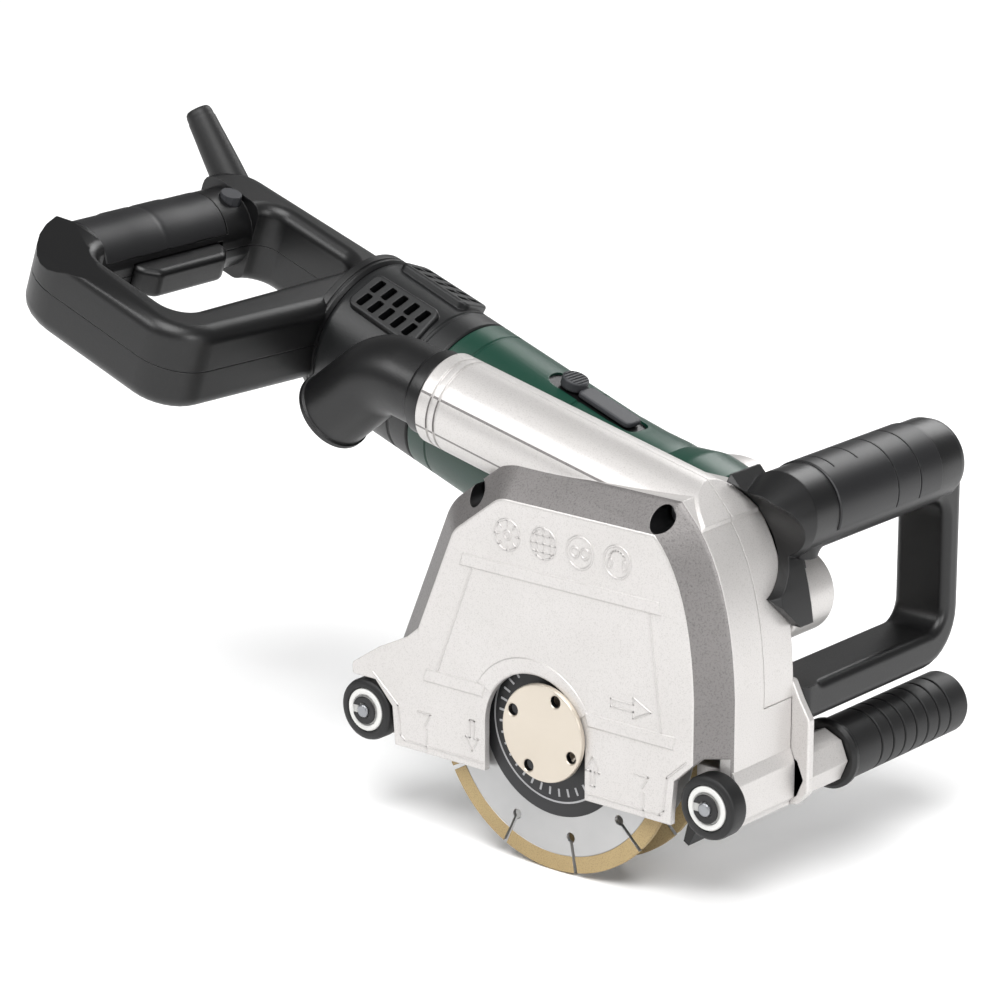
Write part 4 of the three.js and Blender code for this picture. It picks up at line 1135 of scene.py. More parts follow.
    def ridge(
        self, points: Sequence[Point], width: float = 0.7, proud: float = 0.35
    ) -> list[Blank]:
        """Makes a fine raised line on the face.

        Args:
            points: The line's corners.
            width: Its width.
            proud: How far it stands out.

        Returns:
            A bar for each stretch.
        """
        bars = []
        for (x0, z0), (x1, z1) in zip(points, points[1:]):
            way = Vector((x1 - x0, z1 - z0)).normalized() * (width / 2)
            side = Vector((-way.y, way.x))
            outline = [
                (x0 - way.x - side.x, z0 - way.y - side.y),
                (x1 + way.x - side.x, z1 + way.y - side.y),
                (x1 + way.x + side.x, z1 + way.y + side.y),
                (x0 - way.x + side.x, z0 - way.y + side.y),
            ]
            bars.append(wall_block(outline, self.face_y - proud, self.face_y + 0.2))
        return bars

    def plate(self, outline: Sequence[Point], proud: float = 0.5) -> Blank:
        """Makes a low raised field on the face with sloping sides."""
        return Blank.lofted(
            [(grown(outline, -0.35), self.face_y - proud), (outline, self.face_y + 0.2)], facing_y()
        )

    def ring_mark(
        self, x: float, z: float, radius: float, width: float = 0.7, squash: float = 1.0
    ) -> Blank:
        """Makes a fine raised ring on the face.

        Args:
            x: The centre's x.
            z: The centre's z.
            radius: The ring's middle radius.
            width: Its width.
            squash: Its width as a share of its height.

        Returns:
            The ring.
        """
        near, far = self.face_y - 0.35, self.face_y + 0.2
        low, high = radius - width / 2, radius + width / 2
        profile = [(low, near), (high, near), (high, far), (low, far)]
        place = facing_y(x, z) @ Matrix.Diagonal((squash, 1.0, 1.0, 1.0))
        return Blank.turned(profile, place, 40)

    def raised_marks(self) -> list[Blank]:
        """Builds the raised bars, frame lines, window rim, arrows and generic symbols.

        Returns:
            The marks.
        """
        x, z, radius = self.window
        marks = [
            self.plate([(-46.8, 63), (59.2, 63), (57.8, 68.6), (-44.9, 68.6)]),
            self.plate([(-67.2, 7.5), (-34.0, 7.5), (-32.4, 13.3), (-65.2, 13.3)]),
            self.plate([(22.0, 7.5), (66.0, 7.5), (67.0, 13.3), (20.2, 13.3)]),
        ]
        left = [(-95.5, 5.0), (-81.2, -6.9), (-79.7, -20), (-77.6, -21.8), (-34.2, -21.8)]
        right = [(21.5, -21.8), (59.6, -21.8), (61.6, -19.6), (63, -5.0), (72.5, 3.5)]
        marks += self.ridge(left, 0.6) + self.ridge(right, 0.6)
        arc = [math.radians(a) for a in range(29, 152, 3)]
        rim = [(x - 1.5 + 33.8 * math.cos(a), z + 33.2 * math.sin(a)) for a in arc]
        edge = radius + 0.4
        rim += [(x + edge * math.cos(a), z + edge * math.sin(a)) for a in reversed(arc)]
        marks.append(
            Blank.lofted([(rim, self.face_y - 0.4), (rim, self.face_y + 0.2)], facing_y())
        )
        marks += self.ridge([(-40.2, 62.4), (-59.1, 13.5)])
        marks += self.ridge([(53.3, 62.1), (59.7, 13.8)])
        ahead = [
            (34, 19.2), (45.5, 19.2), (45.5, 16.4), (54.5, 20.8), (45.5, 25.2), (45.5, 22.4),
            (34, 22.4),
        ]
        marks += self.ridge([*ahead, ahead[0]], 0.5)
        for at in (-66.0, 50.5):
            marks += self.ridge([(at - 4, -7.2), (at + 3, -7.2), (at, -12.4)], 0.6)
            marks += self.ridge([(at + 0.8, -14.5), (at + 0.8, -24)], 0.6)
        up = [
            (23.6, -17.7), (23.6, -11.5), (21.2, -11.5), (24.6, -5.2), (28.2, -11.5), (25.8, -11.5),
            (25.8, -17.7),
        ]
        down = [
            (-41.2, -4.4), (-41.2, -12), (-43.4, -12), (-40, -17.6), (-36.6, -12), (-38.8, -12),
            (-38.8, -4.4),
        ]
        for corners in (up, down):
            marks += self.ridge([*corners, corners[0]], 0.5)
        marks += self.symbols()
        return marks

    def symbols(self) -> list[Blank]:
        """Builds four generic round symbols: slotted wheel, mesh, goggles and ear cups.

        Returns:
            The marks.
        """
        height = 81.0
        wheel, mesh, goggles, cups = -21.0, -1.7, 17.3, 36.6
        marks = [self.ring_mark(wheel, height, 6.6), self.ring_mark(wheel, height, 1.8)]
        for k in range(8):
            c, s = math.cos(k * TURN / 8), math.sin(k * TURN / 8)
            slot = [(wheel + 4.4 * c, height + 4.4 * s), (wheel + 6.4 * c, height + 6.4 * s)]
            marks += self.ridge(slot, 0.5)
        marks.append(self.ring_mark(mesh, height, 6.6))
        for k in (-3.6, 0, 3.6):
            reach = math.sqrt(6.4**2 - k * k)
            marks += self.ridge([(mesh + k, height - reach), (mesh + k, height + reach)], 0.5)
            marks += self.ridge([(mesh - reach, height + k), (mesh + reach, height + k)], 0.5)
        marks.append(self.ring_mark(goggles, height, 6.8))
        marks += [self.ring_mark(goggles + side, height, 2.1) for side in (-2.6, 2.6)]
        marks.append(self.ring_mark(cups, height, 6.8))
        marks += [self.ring_mark(cups + k, height - 1, 1.9, squash=0.6) for k in (-3.6, 3.6)]
        arc = [math.radians(a) for a in range(20, 161, 20)]
        band = [(cups + 4.0 * math.cos(a), height + 0.6 + 4.2 * math.sin(a)) for a in arc]
        return marks + self.ridge(band, 0.5)

    def far_shell(self) -> bpy.types.Object:
        """Builds the far shell with the fin, the roller boss and the pivot boss.

        Returns:
            The finished piece.
        """
        gap = self.parting_y + 0.3
        near_side = Blank.block((-FAR, -50, -200), (FAR, gap, FAR))
        shell = self.body().cut(self.chamber(), near_side)
        shell.cut(Blank.block((67.2, -50, -60), (200, 53.3, 22)))
        fin = filleted(
            [
                (50, -25, 0), (91, -25, 3), (97, -19, 3), (97, 13, 3), (92, 21, 3), (88, 29, 2),
                (62, 29, 2), (50, 10, 2),
            ],
            5
        )
        eight = disc_outline(12, 8, FRONT_X, WHEEL_Z)
        shell.add(
            cushioned(fin, 53.3, 57.5, 1.0, facing_y()),
            cushioned(eight, 53.3, 84.0, 1.0, facing_y(), 3),
            rod_y(13, 52.2, 56.7, *PIVOT, 48),
            *[
                rod_y(7, gap, self.back_y - 1, x, z, 32).keep(self.casting())
                for x, z in self.screws
            ],
        )
        path = [swung((0, 0), k * SWING / 4) for k in range(5)]
        slot = [rod_y(10.1, 50, 60, *spot, 32) for spot in path]
        slot.append(Blank.block((path[4][0] - 10.1, 50, -60), (10.1, 60, 0)))
        pin = rod_y(PIN_BORE, 0, 100, *PIVOT, 32)
        shell.cut(*slot, pin, rod_y(PIN_BORE, 60, 120, FRONT_X, WHEEL_Z, 32))
        return shell.piece("hood_far_shell", "hood", ["hood_back"], "cast_silver", SILVER_PAINT)

    def build(self) -> None:
        """Builds both shells."""
        self.cover()
        self.far_shell()


@dataclass
class Elbow:
    """The extraction elbow, a moulded pipe that turns in the tube's rear end."""

    hood: Hood
    radius: float = 17.1
    wall: float = 2.2
    spigot: float = 13.0
    to_bend: float = 33.0
    bend: float = math.radians(50)
    leg: float = 41.5

    def path(self, past: float = 0.0) -> list[Vector]:
        """Returns the pipe's corners, run past each end by a length.

        Args:
            past: How far past each end.

        Returns:
            The corners.
        """
        slope = self.hood.tube_slope
        back = Vector((-math.cos(slope), 0, math.sin(slope)))
        down = Vector((-math.sin(slope), 0, -math.cos(slope)))
        out = back * math.cos(self.bend) + down * math.sin(self.bend)
        corner = self.hood.along(-self.to_bend)
        return [self.hood.along(self.spigot + past), corner, corner + out * (self.leg + past)]

    def build(self) -> None:
        """Builds the pipe, its stop collar and its rounded mouth."""
        pipe = Pipe(BLACK_PLASTIC_AND_PAINTED_SHADE)
        shell = pipe.sweep(self.path(), self.radius, 26.0)
        _, corner, end = self.path()
        way = (end - corner).normalized()
        low, high = self.radius - 0.6, self.radius + 0.9
        lip = Blank.turned(
            [(low, -3.6), (high, -2.9), (high, -0.8), (low, 0)], facing(end, way), 72
        )
        back = self.hood.along(-1) - self.hood.along(0)
        stop = [
            (15.5, 0.3), (18.4, 0.3), (18.9, 0.9), (18.9, 6.4), (18.3, 7.4), (17.0, 8.6),
            (15.5, 8.6),
        ]
        collar = Blank.turned(stop, facing(self.hood.along(0), back), 72)
        shell.add(lip, collar).cut(pipe.sweep(self.path(4), self.radius - self.wall, 26.0))
        shell.piece("elbow_pipe", "elbow", ["extraction_elbow"], "handle_black", BLACK_PLASTIC_AND_PAINTED_SHADE)


# ------------------------------------------------------------------------------ running gear


@dataclass
class GuideWheel:
    """A guide wheel: rubber tyre on a white hub, held on its pin by a black ring."""

    end: str
    x: float
    z: float = WHEEL_Z
    near: float = 2.2
    width: float = 10.0
    radius: float = 13.7
    hub_radius: float = 9.4

    def build(self) -> None:
        """Builds the tyre, the hub and the ring."""
        far = self.near + self.width
        r, h = self.radius, self.hub_radius + 0.3
        tread = [
            (r - 2.2, self.near), (r - 1.2, self.near + 0.25), (r - 0.4, self.near + 0.9),
            (r, self.near + 2.2),
        ]
        mirrored = [(x, self.near + far - y) for x, y in reversed(tread)]
        profile = [(h, self.near + 0.5), (h + 0.4, self.near), *tread, *mirrored, (h, far)]
        place = facing_y(self.x, self.z)
        Blank.turned(profile, place, 72).piece(
            f"{self.end}_tyre_ring", f"{self.end}_wheel", [f"{self.end}_tyre"], "rubber", RUBBER
        )
        hub = [
            (3.3, self.near + 0.9), (6.6, self.near + 0.9), (7.0, self.near + 0.1),
            (h - 0.7, self.near),
            (h - 0.3, self.near + 0.4), (h - 0.3, far), (3.3, far),
        ]
        Blank.turned(hub, place, 72).piece(
            f"{self.end}_hub_disc", f"{self.end}_wheel", [f"{self.end}_wheel_hub"], "hub_plastic",
            WHITE_PLASTIC
        )
        ring = Blank.turned([(3.3, 1.3), (5.9, 1.2), (6.2, 1.5), (6.2, 1.9), (3.3, 1.9)], place, 60)
        ring.cut(Blank.block((self.x - 10, -10, self.z - 1.8), (self.x - 1, 10, self.z + 1.8)))
        ring.piece(
            f"{self.end}_retaining_ring",
            "hood",
            [f"{self.end}_axle_clip"],
            "handle_black",
            BLACK_PLASTIC_AND_PAINTED_SHADE,
        )
        pin = [(0, 0.2), (2.3, 0.2), (2.9, 0.7), (2.9, 24), (0, 24)]
        Blank.turned(pin, place, 40).piece(
            f"{self.end}_axle_pin", "hood", [f"{self.end}_axle"], "steel", MACHINED_STEEL
        )


@dataclass
class Roller:
    """The long support roller beside the front wheel, with turned grooves."""

    x: float = FRONT_X
    z: float = WHEEL_Z
    start: float = 88.3
    stop: float = 171.5
    radius: float = 13.7
    grooves: int = 7

    def build(self) -> None:
        """Builds the roller, its collar and the shaft."""
        r = self.radius
        start, stop = self.start, self.stop
        profile = [(PIN_BORE, start), (r - 1.6, start), (r - 0.5, start + 0.4), (r, start + 1.6)]
        pitch = (stop - start - 24) / self.grooves
        groove = [(0, 0), (0.4, 0.25), (1.1, 0.4), (1.1, 1.1), (0.4, 1.25), (0, 1.5)]
        for k in range(self.grooves):
            at = start + 17 + k * pitch
            profile += [(r - depth, at + along) for depth, along in groove]
        profile += [(r, stop - 2.4), (r - 0.8, stop - 0.7), (r - 2.6, stop), (PIN_BORE, stop)]
        place = facing_y(self.x, self.z)
        Blank.turned(profile, place, 72).piece(
            "roller_sleeve", "roller", ["support_roller"], "rubber", RUBBER
        )
        collar = [
            (PIN_BORE, 84.3), (13.6, 84.3), (15.2, 85.6), (15.2, 87.2), (14.5, 88.0),
            (PIN_BORE, 88.0),
        ]
        Blank.turned(collar, place, 60).piece(
            "roller_stop", "hood", ["roller_collar"], "handle_black", BLACK_PLASTIC_AND_PAINTED_SHADE
        )
        shaft = [
            (0, 62.3), (5, 62.3), (5, 171.8), (8.4, 171.8), (9, 172.4), (9, 173.2), (8.0, 174.1),
            (0, 174.1),
        ]
        Blank.turned(shaft, place, 60).piece(
            "roller_pin", "hood", ["roller_shaft"], "steel", MACHINED_STEEL
        )


# ------------------------------------------------------------------------------ discs


@dataclass
class DiscStack:
    """Two segmented diamond discs and the nut that clamps them."""

    radius: float = 62.4
    core: float = 1.8
    segment: float = 2.4
    rim: float = 7.2
    ys: tuple[float, float] = (9.4, 33.4)
    count: int = 10
    phase: float = math.radians(-79)
    keyhole: float = 2.2
    slot_depth: float = 15.4

    def disc(self, name: str, node: str, y: float) -> None:
        """Builds one disc: core plate, slots with keyholes, and thicker sintered segments.

        Args:
            name: The piece's name.
            node: The frame's node that it stands for.
            y: Where its middle lies.
        """
        half = self.core / 2
        inner, edge = self.radius - self.slot_depth, self.radius - 3
        bore = 11.2
        plate = Blank.turned([(bore, -half), (edge, -half), (edge, half), (bore, half)], None, 120)
        slot = Blank.block((inner, -0.8, -5), (self.radius + 5, 0.8, 5))
        keyhole = disc_outline(self.keyhole, 24, inner)
        slot.add(Blank.lofted([(keyhole, -5), (keyhole, 5)]))
        plate.cut(Repeat(Layout.RING, GROUND_STEEL).lay(slot, self.count, 0.0, self.phase))
        pitch = TURN / self.count
        spread = pitch / 2 - 0.9 / self.radius
        steps = 14
        arc = [pitch / 2 - spread + 2 * spread * k / steps for k in range(steps + 1)]
        root = self.radius - self.rim
        outline = [(self.radius * math.cos(a), self.radius * math.sin(a)) for a in arc]
        outline += [(root * math.cos(a), root * math.sin(a)) for a in reversed(arc)]
        segment = cushioned(outline, -self.segment / 2, self.segment / 2, 0.25, steps=2)
        segments = Repeat(Layout.RING, DIAMOND).lay(segment, self.count, 0.0, self.phase)
        disc = plate.with_loose(segments).moved(facing_y() @ Matrix.Translation((0, 0, y)))

        def on_rim(centre: Vector, normal: Vector) -> bool:
            """Tells whether a face belongs to a segment."""
            out = math.hypot(centre.x, centre.z)
            return out > root - 0.3 and abs(centre.y - y) > half + 0.05 or out > self.radius - 0.4

        disc.piece(name, "disc_stack", [node], "disc_steel", GROUND_STEEL, [(DIAMOND, on_rim)])

    def print_ring(self) -> None:
        """Lays the printed ring on the near disc: dark, with a light band and ticks."""
        y = self.ys[0] - self.core / 2
        profile = [(16.5, y - 0.06), (37.9, y - 0.06), (38.1, y - 0.01), (16.5, y - 0.01)]
        ring = Blank.turned(profile, facing_y(), 96)
        band = Blank.turned(
            [(31.5, y - 0.1), (32.3, y - 0.1), (32.3, y - 0.05), (31.5, y - 0.05)], facing_y(), 96
        )
        tick = Blank.block((26.0, -0.5, 0.05), (29.5, 0.5, 0.1))
        place = facing_y() @ Matrix.Translation((0, 0, y - 0.15))
        ticks = Repeat(Layout.RING, PRINT_SILVER).lay(tick, 36, 0.0, 0.1, place=place)

        def is_light(centre: Vector, normal: Vector) -> bool:
            """Tells whether a face is on the light band or a tick."""
            return centre.y < y - 0.065

        ring.with_loose(band, ticks).piece(
            "disc_print", "disc_stack", [], "disc_steel", PRINT_BLACK, [(PRINT_SILVER, is_light)]
        )

    def nut(self) -> None:
        """Builds the clamp nut, faced on the lathe, with four spanner holes."""
        profile = [
            (0, 0.0), (20.2, 0.0), (20.9, 0.25), (21.2, 0.8), (21.2, 2.3), (20.9, 2.7), (10, 2.7),
            (10, 6.6), (15.6, 6.6),
            (16, 7.0), (16, 8.0), (0, 8.0),
        ]
        nut = Blank.turned(profile, facing_y(), 120)
        levels = [(3.0, -1), (3.0, 0.05), (2.55, 0.5), (2.55, 5)]
        hole = Blank.lofted([(disc_outline(size, 28, 17.0), y) for size, y in levels])
        nut.cut(
            Repeat(Layout.RING, BRIGHT_STEEL).lay(
                hole, 4, 0.0, math.radians(65.4), place=facing_y()
            ),
        )
        nut.piece(
            "clamp_nut_disc",
            "disc_stack",
            ["clamp_nut"],
            "nut_steel",
            BRIGHT_STEEL,
            # the spanner holes' walls are painted black as painted shade, though the nut is steel
            [(BLACK_PLASTIC_AND_PAINTED_SHADE, self.in_hole_painted_shade)],
        )

    @staticmethod
    def in_hole_painted_shade(centre: Vector, normal: Vector) -> bool:
        """Tells whether a face is inside a spanner hole, whose walls are painted black as painted
        shade.
        """
        return abs(
            math.hypot(centre.x, centre.z) - 17
        ) < 3.2 and 0.6 < centre.y < 2.5 and abs(normal.y) < 0.3

    def build(self) -> None:
        """Builds both discs, the print and the nut."""
        self.disc("near_disc_plate", "near_disc", self.ys[0])
        self.disc("far_disc_plate", "far_disc", self.ys[1])
        self.print_ring()
        self.nut()


# ------------------------------------------------------------------------------ front handle


@dataclass
class FrontHandle:
    """The bow handle beside the hood, with a soft pad and a saddle that hugs the hood."""

    hood: Hood
    x: float = 77.0
    z: float = 96.0
    grip: float = 18.3
    start: float = 58.8
    stop: float = 172.0
    low: float = 8.0
    low_top: float = 24.0
    width: float = 27.0
    bar: float = 12.0

    def bow(self) -> Blank:
        """Builds the loop: lower bar, end bar and grip core.

        Returns:
            The loop.
        """
        y0, y1, top = self.start, self.stop, self.z + 15
        outer = filleted([(y0, self.low, 6), (y1, self.low, 24), (y1, top, 20), (y0, top, 6)], 8)
        inner = filleted(
            [
                (y0 + 9, self.low_top, 5), (y1 - self.bar, self.low_top, 9),
                (y1 - self.bar, self.z - 15, 9), (y0 + 9, self.z - 15, 5),
            ],
            8
        )
        place = Matrix(((0, 0, 1, self.x), (1, 0, 0, 0), (0, 1, 0, 0), (0, 0, 0, 1)))
        loop = cushioned(outer, -self.width / 2, self.width / 2, 5.0, place)
        loop.cut(cushioned(inner, -self.width / 2, self.width / 2, -4.0, place))
        loop.cut(Blank.block((0, y0 - 20, self.low_top), (200, y0 + 14, self.z - self.grip + 1)))
        profile = [
            (0, y0), (self.grip, y0), (self.grip, y1 - 10), (self.grip - 1.2, y1 - 6),
            (self.grip - 5, y1 - 3.5), (0, y1 - 3.5),
        ]
        return loop.add(Blank.turned(profile, facing_y(self.x, self.z), 72))

    def saddle(self) -> Blank:
        """Builds the saddle plate over the hood's top front edge.

        Returns:
            The saddle.
        """
        y0, y1 = 40.0, self.start + 4
        band = Blank.lofted(
            [
                (self.hood.outline(14.4), y0),
                (self.hood.outline(18), y0 + 4.2),
                (self.hood.outline(18), y1),
            ],
            facing_y(),
        )
        neck = [
            (0, y0 + 2), (12, y0 + 2), (self.grip, self.start - 1), (self.grip, self.start + 3),
            (0, self.start + 3),
        ]
        inside = self.hood.outline(13.3)
        band.add(Blank.turned(neck, facing_y(self.x, self.z), 72)).cut(
            Blank.lofted([(inside, y0 - 5), (inside, y1 + 5)], facing_y()),
            Blank.block((-FAR, -50, -FAR), (62, 400, FAR)),
            Blank.block((-FAR, -50, -FAR), (FAR, 400, 52)),
            half_space(Vector((88, y0, 66)), Vector((0, -1, -1))),
            rod(self.hood.along(0), self.hood.along(200), self.hood.tube_radius + 0.3, 72),
        )
        side = self.hood.outline(17.8)
        web = Blank.lofted([(side, self.start), (side, self.start + 5)], facing_y())
        web.cut(
            Blank.block((-FAR, -50, -FAR), (62, 400, FAR)),
            Blank.block((-FAR, -50, -FAR), (FAR, 400, 74)),
        )
        return band.add(web)

    def build(self) -> None:
        """Builds the handle and its pad."""
        pad_room = rod_y(self.grip + 5, self.start + 15, self.stop - 24, self.x, self.z, 72)
        pad_room.cut(rod_y(self.grip - 1.4, 0, 300, self.x, self.z, 72))
        pad_room.cut(Blank.block((0, 0, 0), (200, 300, self.z - 7)))
        boss_room = rod_y(20, self.start - 0.5, self.start + 42, *PIVOT, 64)
        bow = self.bow().add(self.saddle()).cut(boss_room, pad_room)
        lug = grown(hull([(*DRUM_LUG, 26), (*PIVOT, 18.5)]), 1.5)
        for k in range(4):
            bow.cut(wall_block([swung(p, k * SWING / 3) for p in lug], 60, 89.5))
        seam = Blank.block(
            (self.x - 0.35, self.start + 6, self.low - 2),
            (self.x + 0.35, self.stop + 5, self.low + 0.8),
        )
        bow.cut(seam).piece("front_bow", "hood", ["front_handle"], "handle_black", BLACK_PLASTIC_AND_PAINTED_SHADE)
        self.pad()

    def finger_line(self, at: float, radius: float) -> Blank:
        """Makes the cutter for one finger field's edge: a groove over the top of the grip.

        Args:
            at: Where it lies along the grip.
            radius: The pad's radius.

        Returns:
            The cutter.
        """
        low, high = radius - 0.7, radius + 2
        profile = [(low, at - 0.35), (high, at - 0.7), (high, at + 0.7), (low, at + 0.35)]
        ring = Blank.turned(profile, facing_y(self.x, self.z), 96)
        middle = Vector((self.x, 0, self.z))
        for side in (1, -1):
            way = Vector((side * math.cos(0.5), 0, math.sin(0.5)))
            ring.cut(Blank.block((-100, 0, -100), (FAR, 400, 0), facing(middle, way)))
        return ring

    def pad(self) -> None:
        """Builds the soft pad: a smooth cushion with grooves that part the finger fields."""
        y0, y1 = self.start + 15.3, self.stop - 24.3
        r = self.grip
        profile = [
            (r - 1.1, y0), (r + 0.2, y0), (r + 0.7, y0 + 0.6), (r + 0.7, y1 - 0.6), (r + 0.2, y1),
            (r - 1.1, y1),
        ]
        pad = Blank.turned(profile, facing_y(self.x, self.z), 120)
        pad.cut(Blank.block((0, 0, 0), (200, 300, self.z - 6.7)))
        pitch = (y1 - y0 - 8) / 4
        for k in range(4):
            pad.cut(self.finger_line(y0 + 8 + k * pitch, r + 0.7))
        pad.clean(0.01)
        pad.piece("front_grip_pad", "hood", ["front_handle_pad"], "soft_grip", SOFT_GRIP)


# ------------------------------------------------------------------------------ drive unit


@dataclass
class MotorFrame:
    """The sloping frame of the motor: X across, Y back along the motor axis, Z its up."""

    origin: Vector = field(default_factory=lambda: Vector((DRUM[0], 94, DRUM[1])))
    slope: float = math.radians(19.5)

    def matrix(self) -> Matrix:
        """Returns the frame's placing in the machine."""
        c, s = math.cos(self.slope), math.sin(self.slope)
        o = self.origin
        return Matrix(((0, -c, s, o.x), (1, 0, 0, o.y), (0, s, c, o.z), (0, 0, 0, 1)))

    def lathe(self, profile: Sequence[Point], steps: int = 96) -> Blank:
        """Turns a profile of (radius, s) about the motor axis."""
        turn = Matrix(((1, 0, 0, 0), (0, 0, 1, 0), (0, 1, 0, 0), (0, 0, 0, 1)))
        return Blank.turned(profile, turn, steps)


@dataclass
class Motor:
    """The motor housings: green body, dark rear part with vent panels, and the lever on top."""

    frame: MotorFrame
    radius: float = 35.2
    front: float = 24.0
    seam: float = 138.0
    end: float = 197.0
    near_flat: float = -36.4
    case_radius: float = 36.3

    def case_room(self) -> Blank:
        """Makes the room that the gear case takes at the housing's front.

        Returns:
            The cutter, in the motor's frame.
        """
        back = self.frame.matrix().inverted()
        room = rod_y(self.case_radius, 37, 127.3, *DRUM, 72)
        low = wall_block(hull([(0, 0, 21.8), (*IDLER, 23.3), (*DRUM, self.case_radius)]), 37, 90.3)
        return room.add(low).moved(back)

    def near_side(self) -> Blank:
        """Makes the cutter that leaves the flat towards the hood."""
        return Blank.block((-FAR, -400, -FAR), (self.near_flat, 60, FAR))

    def green_body(self) -> None:
        """Builds the green housing with its flared front, two seams and the lever's recess."""
        r = self.radius
        inner = r - 3
        profile = [
            (inner, self.front), (r + 2.6, self.front), (r + 2.4, self.front + 6),
            (r + 1, self.front + 18),
            (r + 0.2, self.front + 32), (r, self.front + 34), (r, 74), (r - 0.6, 74.4),
            (r - 0.6, 75.6), (r, 76),
            (r, self.seam - 12), (r - 0.5, self.seam - 11.6), (r - 0.5, self.seam - 10.8),
            (r, self.seam - 10.4),
            (r, self.seam - 0.8), (r - 0.8, self.seam), (inner, self.seam),
        ]
        body = self.frame.lathe(profile)
        recess_outline = filleted([(-6.9, 44, 5), (6.9, 44, 5), (6.9, 95.5, 6), (-6.9, 95.5, 6)], 6)
        recess = Blank.lofted([(recess_outline, r - 1.2), (recess_outline, r + 10)])
        body.cut(self.near_side(), recess, self.case_room())
        body.moved(self.frame.matrix()).piece(
            "motor_body", "drive", ["motor_housing"], "green_plastic", GREEN_PLASTIC,
            # the floor of the recess under the lever is drawn in the black finish, darker than the
            # green body
            [(BLACK_PLASTIC_AND_PAINTED_SHADE, self.in_lever_recess)]
        )

    def in_lever_recess(self, centre: Vector, normal: Vector) -> bool:
        """Tells whether a face is on the recess under the lever.

        Args:
            centre: The face's centre.
            normal: Its normal.

        Returns:
            Whether it is.
        """
        spot = self.frame.matrix().inverted() @ centre
        return abs(
            spot.x
        ) < 6.95 and 43.9 < spot.y < 95.6 and self.radius - 1.4 < spot.z < self.radius - 0.9

    def vent_panel(self, angle: float) -> tuple[Blank, Blank]:
        """Builds one raised vent panel and the cutters of its slots.

        Args:
            angle: Where it sits round the motor.

        Returns:
            The panel and the cutters.
        """
        outline = filleted([(-11, 151, 4), (11, 153, 4), (10, 191, 4), (-10, 192, 4)], 5)
        panel = cushioned(outline, self.radius - 4, self.radius + 2.2, 1.2)
        panel.moved(Matrix.Rotation(angle, 4, "Y"))
        slot_outline = filleted(
            [(-8.2, 156.4, 0.9), (-1.0, 155.4, 0.9), (-1.0, 159.0, 0.9), (-8.2, 160.0, 0.9)], 4
        )
        cutters = []
        for shift in (0.0, 8.6):
            slot = Blank.lofted([(slot_outline, self.radius - 9), (slot_outline, self.radius + 8)])
            slot.moved(Matrix.Translation((shift, 0, 0)))
            row = Repeat(Layout.ROW, GREY_PLASTIC).lay(slot, 5, step=(0, 6.9, 0))
            cutters.append(row.moved(Matrix.Rotation(angle, 4, "Y")))
        return panel, cutters[0].with_loose(cutters[1])

    def rear_part(self) -> None:
        """Builds the dark rear housing, closed at the swivel seam."""
        r = self.radius
        start = self.seam + 0.3
        profile = [
            (r - 3, start), (r - 0.8, start), (r, start + 0.8), (r, start + 10),
            (r - 0.7, start + 10.6),
            (r - 0.7, start + 11.8), (r, start + 12.4), (r, self.end - 3),
            (r - 1.0, self.end - 0.6), (r - 1.6, self.end),
            (12, self.end), (12, self.end - 12), (15, self.end - 12), (15, self.end - 3),
            (r - 3, self.end - 3),
        ]
        body = self.frame.lathe(profile)
        for angle in (math.radians(-34), math.radians(20)):
            panel, cutters = self.vent_panel(angle)
            body.add(panel).cut(cutters)
        body.moved(self.frame.matrix()).piece(
            "motor_tail", "drive", ["rear_housing"], "grey_plastic", GREY_PLASTIC
        )

    def lever(self) -> None:
        """Builds the release lever: a tapered arm with a round ribbed pad."""
        r = self.radius
        outline = filleted([(-5.2, 48.5, 2.5), (5.2, 48.5, 2.5), (5.0, 78, 2), (-5.0, 78, 2)], 4)
        arm = cushioned(outline, r - 0.4, r + 2.2, 0.7)
        pad = cushioned(disc_outline(6.0, 48, 0, 84), r - 0.4, r + 4.6, 1.0)
        arm.add(pad)
        rib = Blank.block((-5, 79.2, r + 4.2), (5, 79.9, r + 6))
        arm.cut(Repeat(Layout.ROW, LIGHT_GREY_PLASTIC).lay(rib, 6, step=(0, 1.7, 0)))
        arm.moved(self.frame.matrix()).piece(
            "lever_arm", "release_lever", ["release_lever"], "grey_plastic", LIGHT_GREY_PLASTIC
        )

    def collar(self) -> None:
        """Builds the raised green cap over the top of the gear case."""
        r = self.case_radius
        band = self.frame.lathe(
            [
                (r, -6), (41.2, -6), (42.4, -4.4), (42.4, 11), (41.6, 14),
                (r + 2, self.front - 0.3), (r, self.front - 0.3),
            ],
        )
        band.cut(
            self.near_side(),
            Blank.block((-FAR, -100, -FAR), (FAR, 400, 27)),
            self.case_room(),
        )
        band.moved(self.frame.matrix()).piece(
            "case_cap", "drive", ["gear_cover"], "green_plastic", GREEN_PLASTIC
        )

    def build(self) -> None:
        """Builds the visible motor parts."""
        self.green_body()
        self.rear_part()
        self.lever()
        self.collar()


def hull(circles: Sequence[Trio], steps: int = 64) -> list[Point]:
    """Returns the outline drawn tight round some circles.

    Args:
        circles: Each a centre and a radius.
        steps: Points on each circle before the tight outline is taken.

    Returns:
        The convex outline.
    """
    points = sorted({p for x, z, r in circles for p in disc_outline(r, steps, x, z)})

    def chain(spots: Sequence[Point]) -> list[Point]:
        """Returns one side of the outline.

        Args:
            spots: The points, in order.

        Returns:
            The corners that stay.
        """
        side: list[Point] = []
        for p in spots:
            while len(side) > 1:
                (ax, az), (bx, bz) = side[-2], side[-1]
                if (bx - ax) * (p[1] - az) - (bz - az) * (p[0] - ax) > 1e-9:
                    break
                side.pop()
            side.append(p)
        return side[:-1]

    return chain(points) + chain(list(reversed(points)))


